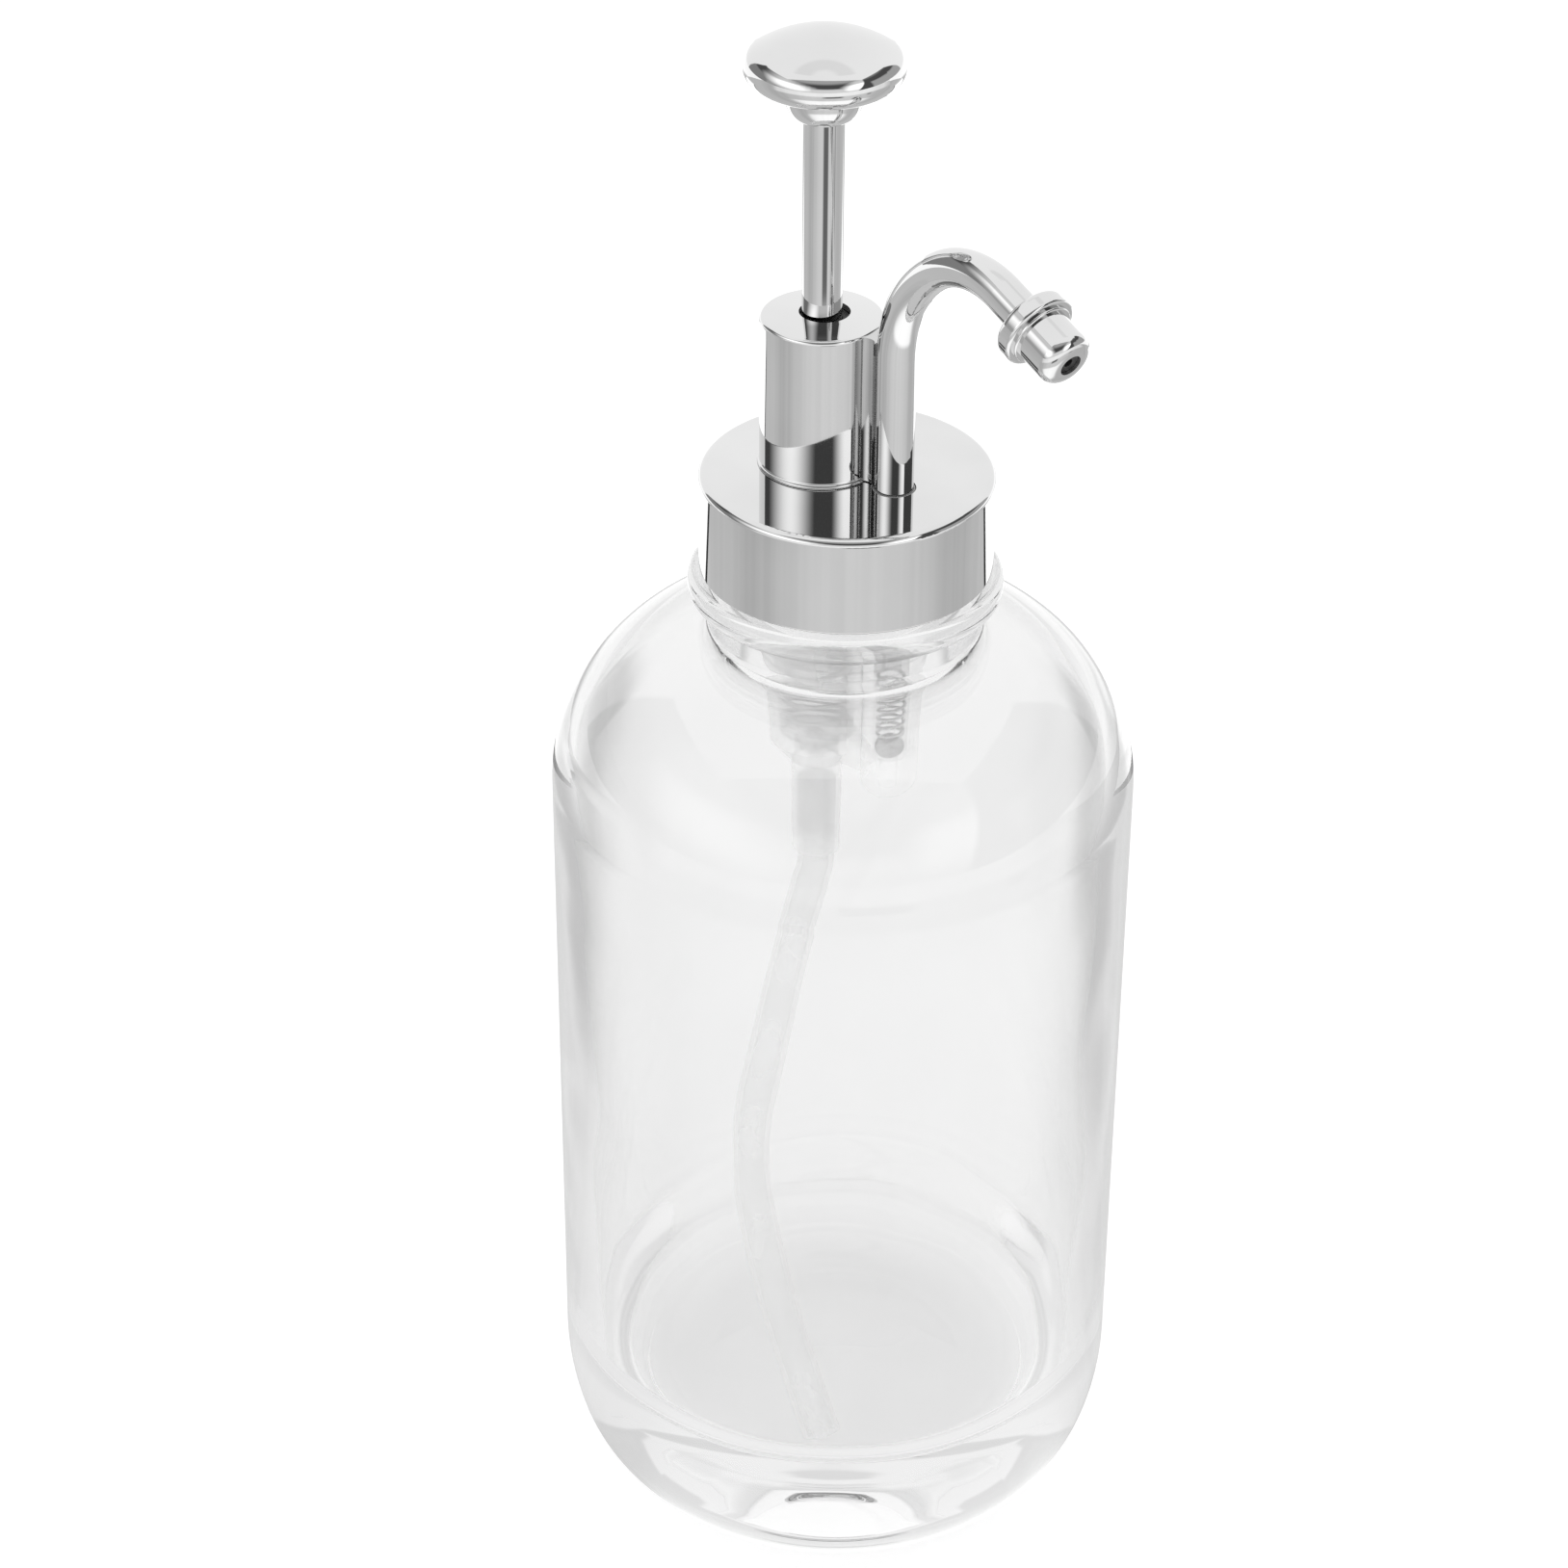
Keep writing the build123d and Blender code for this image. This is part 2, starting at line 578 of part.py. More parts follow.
def make_pump_body():
    low = CHAMBER_Z - WEB_DROP
    span = SPOUT_X - TURRET_X
    web = Pos(TURRET_X + span / 2, 0, (low + DRUM_Z) / 2) * Box(span, WEB_T, DRUM_Z - low)
    body = drum() + barrel_outside() + side_chamber() + web
    body -= disc(BARREL_BORE_R, CHAMBER_Z, BARREL_TOP_Z, TURRET_X)
    body -= disc(SPIGOT_R + FIT, BARREL_Z, CHAMBER_Z, TURRET_X)
    body -= disc(SEAT_R, OUTLET_SEAT_Z - SIDE_SUMP, OUTLET_SEAT_Z, SPOUT_X)
    body -= disc(SIDE_BORE_R, OUTLET_SEAT_Z, SPOUT_Z, SPOUT_X)
    body -= disc(SPOUT_SOCKET_R, SPOUT_Z, UNDER_CAP_Z, SPOUT_X)
    seal_seat_r = SPOUT_SOCKET_R + SPOUT_SEAL_WIRE + FIT
    body -= disc(seal_seat_r, UNDER_CAP_Z - SPOUT_SEAL_WIRE - 2 * FIT, UNDER_CAP_Z, SPOUT_X)
    return body - passage()


def make_tube_adapter():
    adapter = disc(SOCKET_R, SOCKET_Z, BARREL_Z)
    adapter += disc(SPIGOT_R, BARREL_Z, SPIGOT_Z)
    adapter -= disc(TUBE_R + FIT, SOCKET_Z, TUBE_TOP_Z + FIT)
    adapter -= disc(SEAT_R, TUBE_TOP_Z, INTAKE_SEAT_Z)
    adapter -= disc(BALL_R + LOOSE, INTAKE_SEAT_Z, SPIGOT_Z)
    return Pos(TURRET_X, 0, 0) * adapter


def make_intake_ball():
    return Pos(TURRET_X, 0, INTAKE_BALL_Z) * Sphere(BALL_R)


def make_intake_cage():
    cage = disc(BARREL_BORE_R - FIT, CHAMBER_Z, CAGE_TOP_Z)
    cage -= disc(BARREL_BORE_R - FIT - CAGE_RIM, CHAMBER_Z, CAGE_ROOF_Z)
    spread = (BARREL_BORE_R - CAGE_RIM) * 0.66
    for index in range(CAGE_HOLES):
        angle = 2 * math.pi * index / CAGE_HOLES
        x, y = spread * math.cos(angle), spread * math.sin(angle)
        cage -= disc(CAGE_HOLE_R, CAGE_ROOF_Z, CAGE_TOP_Z, x, y)
    cage = Pos(TURRET_X, 0, 0) * cage
    return cage - passage()


def tube_points():
    """Corners of the dip tube's route below its socket, down to the bottle's floor."""
    drop = SOCKET_Z - FLOOR - TUBE_END_LIFT
    end_r = BODY_R - WALL - TUBE_END_INSET
    reach_x = end_r * math.cos(math.radians(TUBE_END_ANGLE)) - TURRET_X
    reach_y = end_r * math.sin(math.radians(TUBE_END_ANGLE))
    points = [(TURRET_X, 0, SOCKET_Z), (TURRET_X, 0, SOCKET_Z - TUBE_KINK_DROP)]
    for down, along_x, along_y in TUBE_ROUTE:
        points.append((TURRET_X + reach_x * along_x, reach_y * along_y, SOCKET_Z - drop * down))
    return [Vector(*point) for point in points]


def bend_radii(points):
    """Bend at each corner, as wide as the shorter run beside it allows."""
    radii = []
    for before, corner, after in zip(points, points[1:], points[2:]):
        run_in, run_out = corner - before, after - corner
        turn = math.radians(run_in.get_angle(run_out))
        radii.append(0.45 * min(run_in.length, run_out.length) / math.tan(turn / 2))
    return radii


def make_dip_tube():
    points = tube_points()
    radii = bend_radii(points)
    print("dip tube bends", [round(radius, 1) for radius in radii])
    top = Vector(TURRET_X, 0, TUBE_TOP_Z)
    path = FilletPolyline(top, *points[1:], radius=radii)
    foot = Pos(TURRET_X, 0, TUBE_TOP_Z)
    outer = sweep(foot * Circle(TUBE_R), path=path)
    inner = sweep(foot * Circle(TUBE_R - TUBE_WALL), path=path)
    section = math.pi * (TUBE_R**2 - (TUBE_R - TUBE_WALL) ** 2)
    tube = outer - inner
    print("dip tube volume / section x length", round(tube.volume / (section * path.length), 4))
    return tube


def make_outlet_ball():
    return Pos(SPOUT_X, 0, OUTLET_BALL_Z) * Sphere(BALL_R)


def make_outlet_spring():
    mean_r = SIDE_BORE_R - OUTLET_SPRING_GAP - OUTLET_WIRE / 2
    return coil(mean_r, OUTLET_WIRE, OUTLET_SPRING_Z, SLEEVE_Z, OUTLET_TURNS, SPOUT_X)


def make_spring_sleeve():
    return ring(SIDE_BORE_R - FIT, SLEEVE_BORE_R, SLEEVE_Z, SPOUT_Z, SPOUT_X)


NODES = {
    "bottle": make_bottle,
    "neck_gasket": make_neck_gasket,
    "cap_shell": make_cap_shell,
    "cap_liner": make_cap_liner,
    "pump_housing": make_pump_housing,
    "rod_wiper": make_rod_wiper,
    "rod_guide": make_rod_guide,
    "plunger_rod": make_plunger_rod,
    "knob_hub": make_knob_hub,
    "knob": make_knob,
    "piston": make_piston,
    "piston_seal": make_piston_seal,
    "return_spring": make_return_spring,
    "pump_body": make_pump_body,
    "tube_adapter": make_tube_adapter,
    "intake_ball": make_intake_ball,
    "intake_cage": make_intake_cage,
    "dip_tube": make_dip_tube,
    "outlet_ball": make_outlet_ball,
    "outlet_spring": make_outlet_spring,
    "spring_sleeve": make_spring_sleeve,
    "spout_seal": make_spout_seal,
    "spout_tube": make_spout_tube,
    "nozzle_collar": make_nozzle_collar,
    "nozzle_tip": make_nozzle_tip,
    "nozzle_valve": make_nozzle_valve,
}

os.makedirs("parts", exist_ok=True)
for name, make in NODES.items():
    export_step(make(), f"parts/{name}.step")
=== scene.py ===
# %% [markdown]
# # A table-top syrup dispenser
# The dispenser is a round glass bottle with a hand pump in its chromed screw cap.  Its pieces
# are already made at their real size, and they stay where they are.  This lesson gives each one
# its finish, and models again, more finely, the pieces that a mirror or clear glass shows up.

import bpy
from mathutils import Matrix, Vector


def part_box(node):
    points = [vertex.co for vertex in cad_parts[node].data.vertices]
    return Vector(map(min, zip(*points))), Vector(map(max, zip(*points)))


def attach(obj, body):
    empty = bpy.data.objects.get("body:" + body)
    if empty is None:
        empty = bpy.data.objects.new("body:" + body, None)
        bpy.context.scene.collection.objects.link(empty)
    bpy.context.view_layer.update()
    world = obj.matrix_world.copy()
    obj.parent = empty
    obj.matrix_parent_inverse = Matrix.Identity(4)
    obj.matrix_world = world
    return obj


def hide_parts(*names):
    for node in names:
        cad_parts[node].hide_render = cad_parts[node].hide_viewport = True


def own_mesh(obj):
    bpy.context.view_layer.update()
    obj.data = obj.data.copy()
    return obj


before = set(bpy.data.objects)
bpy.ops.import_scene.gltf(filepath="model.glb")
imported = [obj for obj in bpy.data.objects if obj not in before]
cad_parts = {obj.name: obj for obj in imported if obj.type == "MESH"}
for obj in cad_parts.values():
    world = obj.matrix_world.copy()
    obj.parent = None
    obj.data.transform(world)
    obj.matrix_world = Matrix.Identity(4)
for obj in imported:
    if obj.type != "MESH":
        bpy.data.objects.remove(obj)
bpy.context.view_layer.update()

# %% Modules and units
import math

import bpy
from mathutils import Matrix, Vector

MM = 0.001
UP = Vector((0, 0, 1))

# %% [markdown]
# ## Where things are
# Sizes come from the pieces themselves, so that nothing has to be fitted afterwards.  The pump's
# turret and the spout's foot each stand on an upright axis of their own, beside the bottle's.

# %% Axes and levels
bottle_low, bottle_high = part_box("bottle")
cap_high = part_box("cap_shell")[1]
turret_axis = (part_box("plunger_rod")[0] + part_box("plunger_rod")[1]) / 2
spout_axis = (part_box("spring_sleeve")[0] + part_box("spring_sleeve")[1]) / 2
print("turret axis x %.1f mm, spout axis x %.1f mm" % (turret_axis.x / MM, spout_axis.x / MM))

# %% [markdown]
# ## The camera
# A long lens looks down on the dispenser from over half a metre away.  It is placed first, so
# that every finish is judged from the same spot.

# %% The camera
CAMERA_PLACE = Vector((0.304175, -0.389326, 0.430815))
CAMERA_TURN = math.radians(38.937)
CAMERA_TILT = math.radians(57.515)
CAMERA_ROLL = math.radians(0.337)

camera_data = bpy.data.cameras.new("camera")
camera_data.sensor_width = 36
camera_data.lens = 97.342
camera = bpy.data.objects.new("camera", camera_data)
bpy.context.scene.collection.objects.link(camera)
camera.matrix_world = (
    Matrix.Translation(CAMERA_PLACE)
    @ Matrix.Rotation(CAMERA_TURN, 4, "Z")
    @ Matrix.Rotation(CAMERA_TILT, 4, "X")
    @ Matrix.Rotation(CAMERA_ROLL, 4, "Z")
)
bpy.context.scene.camera = camera
bpy.context.scene.view_settings.view_transform = "Standard"
print("camera is %.2f m from the bottle's axis" % CAMERA_PLACE.xy.length)

# %% [markdown]
# ## Helpers for nodes
# A material is a tree of nodes.  These two helpers add a node with its values, and start a
# material from the Principled shader that Blender puts in it.

# %% Node helpers
def add_node(tree, kind, **values):
    """Adds a node.  A value's name is its socket's, with underscores for spaces."""
    node = tree.nodes.new(kind)
    for name, value in values.items():
        node.inputs[name.replace("_", " ")].default_value = value
    return node


def start_material(name):
    """A new material, its tree and its Principled shader."""
    material = bpy.data.materials.new(name)
    material.use_nodes = True
    return material, material.node_tree, material.node_tree.nodes["Principled BSDF"]


# %% [markdown]
# ## The studio
# Polished metal shows its surroundings more than itself, so the surroundings are designed.  The
# wall behind and part of the ceiling are pale, the room in front is dark, and two tall soft boxes
# stand either side of the camera.  Directions are given as an azimuth from the camera's side,
# positive to its right, and an elevation, both in degrees.

# %% Directions in the studio
towards_camera = Vector((CAMERA_PLACE.x, CAMERA_PLACE.y, 0)).normalized()
to_the_right = UP.cross(towards_camera)


def studio_direction(azimuth, elevation):
    """The unit vector that points out of the middle of the studio."""
    a, e = math.radians(azimuth), math.radians(elevation)
    flat = towards_camera * math.cos(a) + to_the_right * math.sin(a)
    return flat * math.cos(e) + UP * math.sin(e)


print("right of the camera:", [round(c, 3) for c in to_the_right])

# %% [markdown]
# The walls, the lamps' faces and the floor are all drawn with sums in a tree of nodes.  They
# could be modelled as a room instead, but sums are quicker to change and can't cast a shadow.
# Five more helpers do sums, soft steps, bands, the parts of a direction and its azimuth.

# %% Helpers for sums
def sum_of(tree, operation, first, second=0.0):
    """One sum in a tree.  Each side is a number or a socket."""
    node = tree.nodes.new("ShaderNodeMath")
    node.operation = operation
    for socket, value in zip(node.inputs, (first, second)):
        if isinstance(value, (int, float)):
            socket.default_value = value
        else:
            tree.links.new(value, socket)
    return node.outputs[0]


def ramp(tree, value, start, stop, low=0.0, high=1.0):
    """A soft step from one level to another."""
    node = add_node(tree, "ShaderNodeMapRange", From_Min=start, From_Max=stop, To_Min=low, To_Max=high)
    node.interpolation_type = "SMOOTHSTEP"
    tree.links.new(value, node.inputs["Value"])
    return node.outputs["Result"]


def band(tree, value, low, high, soft):
    """One between two values, nothing outside them, with soft edges."""
    return sum_of(tree, "MULTIPLY",
                  ramp(tree, value, low - soft, low + soft), ramp(tree, value, high + soft, high - soft))


def share_along(tree, socket, direction):
    """How far a vector reaches along a direction."""
    node = tree.nodes.new("ShaderNodeVectorMath")
    node.operation = "DOT_PRODUCT"
    node.inputs[1].default_value = direction
    tree.links.new(socket, node.inputs[0])
    return node.outputs["Value"]


def azimuth_of(tree, ahead, aside):
    """The azimuth in degrees, from how far something reaches ahead and aside."""
    return sum_of(tree, "DEGREES", sum_of(tree, "ARCTAN2", aside, ahead))


# %% [markdown]
# The room is drawn for mirrors alone.  The back wall and the ceiling are bright, and their
# edges are what draws the crisp dark shapes on chrome.  Low down at both sides is a grey band.

# %% The room, as a mirror sees it
BRIGHT_WALL, DARK_ROOM, SIDES = 1.17, 0.09, 0.48
WALL_START, WALL_SOFT = 128, 1.5
CEILING_AHEAD, CEILING_ASIDE = 0.4, 0.9
CORNER_SHADE = 0.13
SIDES_START, SIDES_BOTTOM, SIDES_TOP = 70, -12, 26

world = bpy.data.worlds.new("studio")
bpy.context.scene.world = world
world.use_nodes = True
sky = world.node_tree
background = sky.nodes["Background"]
looking = sky.nodes.new("ShaderNodeTexCoord").outputs["Generated"]
ahead = share_along(sky, looking, towards_camera)
aside = share_along(sky, looking, to_the_right)
above = share_along(sky, looking, UP)
azimuth = azimuth_of(sky, ahead, aside)
elevation = sum_of(sky, "DEGREES", sum_of(sky, "ARCSINE", above))
turned_away = sum_of(sky, "ABSOLUTE", azimuth)

back_wall = ramp(sky, turned_away, WALL_START - WALL_SOFT, WALL_START + WALL_SOFT, DARK_ROOM, BRIGHT_WALL)
ceiling_depth = sum_of(sky, "SUBTRACT", ahead, sum_of(sky, "MULTIPLY", above, CEILING_AHEAD))
ceiling_width = sum_of(sky, "SUBTRACT", sum_of(sky, "ABSOLUTE", aside),
                       sum_of(sky, "MULTIPLY", above, CEILING_ASIDE))
ceiling_edge = sum_of(sky, "MAXIMUM", ceiling_depth, ceiling_width)
ceiling = ramp(sky, ceiling_edge, 0.02, -0.02, DARK_ROOM, BRIGHT_WALL)
corner = sum_of(sky, "MULTIPLY", band(sky, elevation, 66, 77, 2),
                ramp(sky, turned_away, WALL_START - 6, WALL_START, 0.0, -CORNER_SHADE))
side_height = band(sky, elevation, SIDES_BOTTOM, SIDES_TOP, 4)
side_reach = sum_of(sky, "MULTIPLY", ramp(sky, turned_away, SIDES_START - 3, SIDES_START + 3),
                    ramp(sky, azimuth, -88, -82, 0.6, 1.0))
sides = sum_of(sky, "MULTIPLY", sum_of(sky, "MULTIPLY", side_height, SIDES), side_reach)
room = sum_of(sky, "ADD", corner,
              sum_of(sky, "MAXIMUM", sum_of(sky, "MAXIMUM", back_wall, ceiling), sides))
print("room: wall", BRIGHT_WALL, "dark", DARK_ROOM)

# %% [markdown]
# A soft box's face is brightest in the middle and fades outwards, and leans away from the camera
# towards its top.  Low between the two boxes is a pale screen, and the ceiling glows overhead.

# %% The soft boxes' faces, as a mirror sees them
PEAK, HALO, GLOW, SCREEN = 2.0, 0.86, 0.5, 0.95
LEFT_LEAN, RIGHT_LEAN, LEAN_FROM = 0.86, 0.45, 28
LEFT_OUTER, LEFT_MIDDLE, LEFT_INNER = -120, -56, -2
RIGHT_INNER, RIGHT_MIDDLE, RIGHT_OUTER = 18, 48, 60
SCREEN_LEFT, SCREEN_RIGHT, SCREEN_TOP = -26, 31, 20

raised = sum_of(sky, "SUBTRACT", elevation, LEAN_FROM)
left_azimuth = sum_of(sky, "ADD", azimuth, sum_of(sky, "MULTIPLY", raised, LEFT_LEAN))
right_azimuth = sum_of(sky, "SUBTRACT", azimuth, sum_of(sky, "MULTIPLY", raised, RIGHT_LEAN))
upper_part = sum_of(sky, "MAXIMUM", ramp(sky, elevation, 44, 26, 0.0, PEAK),
                    ramp(sky, elevation, 62, 42, 0.0, HALO))
face_height = sum_of(sky, "MULTIPLY", ramp(sky, elevation, -14, 18), upper_part)
left_face = sum_of(sky, "MULTIPLY",
                   ramp(sky, left_azimuth, LEFT_OUTER, LEFT_MIDDLE),
                   ramp(sky, left_azimuth, LEFT_INNER, LEFT_MIDDLE))
right_face = sum_of(sky, "MULTIPLY",
                    ramp(sky, right_azimuth, RIGHT_INNER, RIGHT_MIDDLE),
                    ramp(sky, right_azimuth, RIGHT_OUTER + 2, RIGHT_OUTER - 2))
faces = sum_of(sky, "MULTIPLY", face_height, sum_of(sky, "MAXIMUM", left_face, right_face))
screen = sum_of(sky, "MULTIPLY", band(sky, azimuth, SCREEN_LEFT, SCREEN_RIGHT, 4),
                ramp(sky, elevation, SCREEN_TOP + 6, SCREEN_TOP - 6, 0.0, SCREEN))
ceiling_glow = ramp(sky, elevation, 34, 56, 0.0, GLOW)
mirror_level = sum_of(sky, "MAXIMUM", sum_of(sky, "MAXIMUM", room, ceiling_glow),
                      sum_of(sky, "MAXIMUM", faces, screen))
print("soft boxes' faces", PEAK, "with a screen of", SCREEN, "between them")

# %% [markdown]
# The world is told apart by the kind of ray.  The camera sees white, and mirrors see the room
# drawn above.  Rays that go through glass see a pale level, since clear glass shows its
# background, and those that only carry light see an even one, which keeps the light plain.

# %% What each kind of ray sees of the world
AMBIENT = 0.74
SEEN_THROUGH_GLASS = 1.0
MIRRORED_IN_GLASS, OVERHEAD_IN_GLASS = 0.86, 0.70

rays = sky.nodes.new("ShaderNodeLightPath")
ambient = add_node(sky, "ShaderNodeMix", A=AMBIENT)
ambient.data_type = "FLOAT"
sky.links.new(rays.outputs["Is Glossy Ray"], ambient.inputs["Factor"])
sky.links.new(mirror_level, ambient.inputs["B"])
through = sky.nodes.new("ShaderNodeMix")
through.data_type = "FLOAT"
in_glass = ramp(sky, rays.outputs["Transmission Depth"], 0, 1)
overhead = ramp(sky, elevation, 35, 65, MIRRORED_IN_GLASS, OVERHEAD_IN_GLASS)
glass_level = sum_of(sky, "MAXIMUM", overhead,
                     sum_of(sky, "MULTIPLY", rays.outputs["Is Transmission Ray"], SEEN_THROUGH_GLASS))
sky.links.new(sum_of(sky, "MAXIMUM", rays.outputs["Is Camera Ray"], in_glass), through.inputs["Factor"])
sky.links.new(sum_of(sky, "MAXIMUM", rays.outputs["Is Camera Ray"], glass_level), through.inputs["B"])
sky.links.new(ambient.outputs["Result"], through.inputs["A"])
sky.links.new(through.outputs["Result"], background.inputs["Strength"])
background.inputs["Color"].default_value = (1, 1, 1, 1)
print("the world's light", AMBIENT, "and through glass", SEEN_THROUGH_GLASS)

# %% [markdown]
# ## Lamps
# The light itself comes from two soft boxes at the camera's sides and a third high behind the
# dispenser.  Their faces are drawn in the room above, so mirrors don't see the lamps twice.

# %% Soft boxes
LAMPS_STAND = 1.0
middle = (bottle_low + bottle_high) / 2


def soft_box(name, azimuth, elevation, width, height, brightness):
    """A rectangular lamp that faces the dispenser, and that only its light gives away."""
    lamp = bpy.data.lights.new(name, "AREA")
    lamp.shape = "RECTANGLE"
    lamp.size, lamp.size_y = width, height
    lamp.energy = math.pi * width * height * brightness
    box = bpy.data.objects.new(name, lamp)
    bpy.context.scene.collection.objects.link(box)
    way = studio_direction(azimuth, elevation)
    box.location = middle + way * LAMPS_STAND
    box.rotation_euler = way.to_track_quat("Z", "Y").to_euler()
    box.visible_camera = box.visible_glossy = box.visible_transmission = False
    print(name, "shines with %.2f W" % lamp.energy)
    return box


soft_box("left_lamp", -50, 16, 0.80, 0.80, 1.1)
soft_box("right_lamp", 47, 16, 0.66, 0.80, 1.1)
soft_box("high_lamp", 176, 62, 0.70, 0.55, 1.2)

# %% [markdown]
# ## The floor
# The floor is a broad sheet of pale paper.  Seen directly or through the glass it is lifted to
# white, but it keeps the soft shadow that falls on it.  Clear glass on white paper would have no
# edges, so in a studio dark cards stand beside it.  Here there are no cards: two soft patches of
# painted shade lie on the paper behind the bottle to either side, seen only through the glass, and
# give its walls their grey.

# %% The floor seen directly
PAPER = 0.62
LIFT_TO_WHITE = 0.55
LIFT_THROUGH_GLASS = 0.35
LIFT_INSIDE_GLASS = 0.20
SHADE_PATCHES = 0.46
SHADE_PATCHES_FROM, SHADE_PATCHES_FULL, SHADE_PATCHES_FADE, SHADE_PATCHES_END = 0.065, 0.11, 0.12, 0.34
SHADE_PATCHES_FAR, SHADE_PATCHES_NEAR = -0.30, -0.05

bpy.ops.object.select_all(action="DESELECT")
bpy.ops.mesh.primitive_plane_add(size=60, location=(0, 0, -0.2 * MM))
floor = bpy.context.object
floor.name = floor.data.name = "floor"
paper, paper_tree, paper_shader = start_material("paper")
paper_shader.inputs["Roughness"].default_value = 0.9
paper_shader.inputs["Specular IOR Level"].default_value = 0.0
paper_shader.inputs["Emission Color"].default_value = (1, 1, 1, 1)
rays = paper_tree.nodes.new("ShaderNodeLightPath")
through = rays.outputs["Is Transmission Ray"]
been_through = ramp(paper_tree, rays.outputs["Transmission Depth"], 0, 1)
inside = sum_of(paper_tree, "SUBTRACT", been_through, through)
lift = sum_of(paper_tree, "ADD",
              sum_of(paper_tree, "MULTIPLY", rays.outputs["Is Camera Ray"], LIFT_TO_WHITE),
              sum_of(paper_tree, "ADD",
                     sum_of(paper_tree, "MULTIPLY", through, LIFT_THROUGH_GLASS),
                     sum_of(paper_tree, "MULTIPLY", inside, LIFT_INSIDE_GLASS)))
spot = paper_tree.nodes.new("ShaderNodeTexCoord").outputs["Object"]
ahead = share_along(paper_tree, spot, towards_camera)
aside = share_along(paper_tree, spot, to_the_right)
off_middle = sum_of(paper_tree, "ABSOLUTE", aside)
# Painted shade: two soft dark patches on the paper behind the bottle, only for rays through the glass.
shade_patches = sum_of(paper_tree, "MULTIPLY",
               ramp(paper_tree, off_middle, SHADE_PATCHES_FROM, SHADE_PATCHES_FULL, 0.0, SHADE_PATCHES),
               sum_of(paper_tree, "MULTIPLY", ramp(paper_tree, off_middle, SHADE_PATCHES_END, SHADE_PATCHES_FADE),
                      band(paper_tree, ahead, SHADE_PATCHES_FAR, SHADE_PATCHES_NEAR, 0.03)))
# The paper's colour and lift are painted darker in those patches.
kept = sum_of(paper_tree, "SUBTRACT", 1.0, sum_of(paper_tree, "MULTIPLY", shade_patches, through))
paper_tree.links.new(sum_of(paper_tree, "MULTIPLY", lift, kept), paper_shader.inputs["Emission Strength"])
paper_tree.links.new(sum_of(paper_tree, "MULTIPLY", kept, PAPER), paper_shader.inputs["Base Color"])
floor.data.materials.append(paper)
print("floor paper", PAPER, "lifted by", LIFT_TO_WHITE)

# %% [markdown]
# For mirrors, the paper's light is painted on it, as an emission whose level changes from place
# to place.  It is lighter in front, faintly streaky, and has two dim gaps of painted shade that the
# boxes don't reach.  Behind the dispenser it ends in a dark edge, with a painted lit panel beyond.

# %% The floor as mirrors show it
FRONT_TURN = 12
FRONT_LEVEL, SIDE_LEVEL, REAR_LEVEL = 0.88, 0.61, 0.70
EDGE_BEHIND, EDGE_WIDTH = 0.193, 0.014
PANEL, PANEL_END, PANEL_HALF = 1.5, 0.37, 0.32
BEYOND, FAR_LEVEL = 0.62, 1.4
STREAK_DEPTH = 0.06
NEAR_EXTRA, FAR_EXTRA = 0.60, 0.40
GAP_AHEAD, GAP_ASIDE = 0.80, 0.45
EDGE_DARKNESS = 0.94

azimuth = azimuth_of(paper_tree, ahead, aside)
distance = sum_of(paper_tree, "SQRT", sum_of(
    paper_tree, "ADD", sum_of(paper_tree, "POWER", ahead, 2), sum_of(paper_tree, "POWER", aside, 2)))
off_front = sum_of(paper_tree, "ABSOLUTE", sum_of(paper_tree, "SUBTRACT", azimuth, FRONT_TURN))
front = ramp(paper_tree, off_front, 88, 22, SIDE_LEVEL, FRONT_LEVEL)
rear = ramp(paper_tree, off_front, 90, 110, 0.0, REAR_LEVEL - SIDE_LEVEL)
near = sum_of(paper_tree, "MULTIPLY", ramp(paper_tree, distance, 0.235, 0.19, 0.0, NEAR_EXTRA),
              ramp(paper_tree, off_front, 80, 50))
far = sum_of(paper_tree, "MULTIPLY", ramp(paper_tree, distance, 0.50, 0.70, 0.0, FAR_EXTRA),
             ramp(paper_tree, off_front, 90, 75))
streaks = add_node(paper_tree, "ShaderNodeTexNoise", Scale=0.07, Detail=2.0, Roughness=0.55)
streaks.noise_dimensions = "1D"
paper_tree.links.new(azimuth, streaks.inputs["W"])
streak = ramp(paper_tree, streaks.outputs["Fac"], 0.3, 0.7, -STREAK_DEPTH / 2, STREAK_DEPTH / 2)
sheet = sum_of(paper_tree, "ADD", sum_of(paper_tree, "ADD", front, sum_of(paper_tree, "ADD", near, far)),
               sum_of(paper_tree, "ADD", rear, streak))

# Painted shade: two dim gaps in the paper's light, at given distances and azimuths.
gap_reach = sum_of(paper_tree, "MULTIPLY", ramp(paper_tree, distance, 0.375, 0.395),
                   ramp(paper_tree, distance, 0.60, 0.50))
gap_ahead = sum_of(paper_tree, "MULTIPLY", band(paper_tree, azimuth, -1, 26, 4), GAP_AHEAD)
gap_aside = sum_of(paper_tree, "MULTIPLY", band(paper_tree, azimuth, 62, 69, 2), GAP_ASIDE)
gaps = sum_of(paper_tree, "MULTIPLY", gap_reach, sum_of(paper_tree, "ADD", gap_ahead, gap_aside))
sheet = sum_of(paper_tree, "MULTIPLY", sheet, sum_of(paper_tree, "SUBTRACT", 1.0, gaps))
behind = sum_of(paper_tree, "MULTIPLY", ahead, -1.0)
edge_reach = ramp(paper_tree, off_middle, PANEL_HALF + 0.01, PANEL_HALF - 0.01)
panel = sum_of(
    paper_tree, "MULTIPLY",
    band(paper_tree, behind, EDGE_BEHIND + EDGE_WIDTH, PANEL_END, MM),
    sum_of(paper_tree, "MULTIPLY", edge_reach, PANEL))
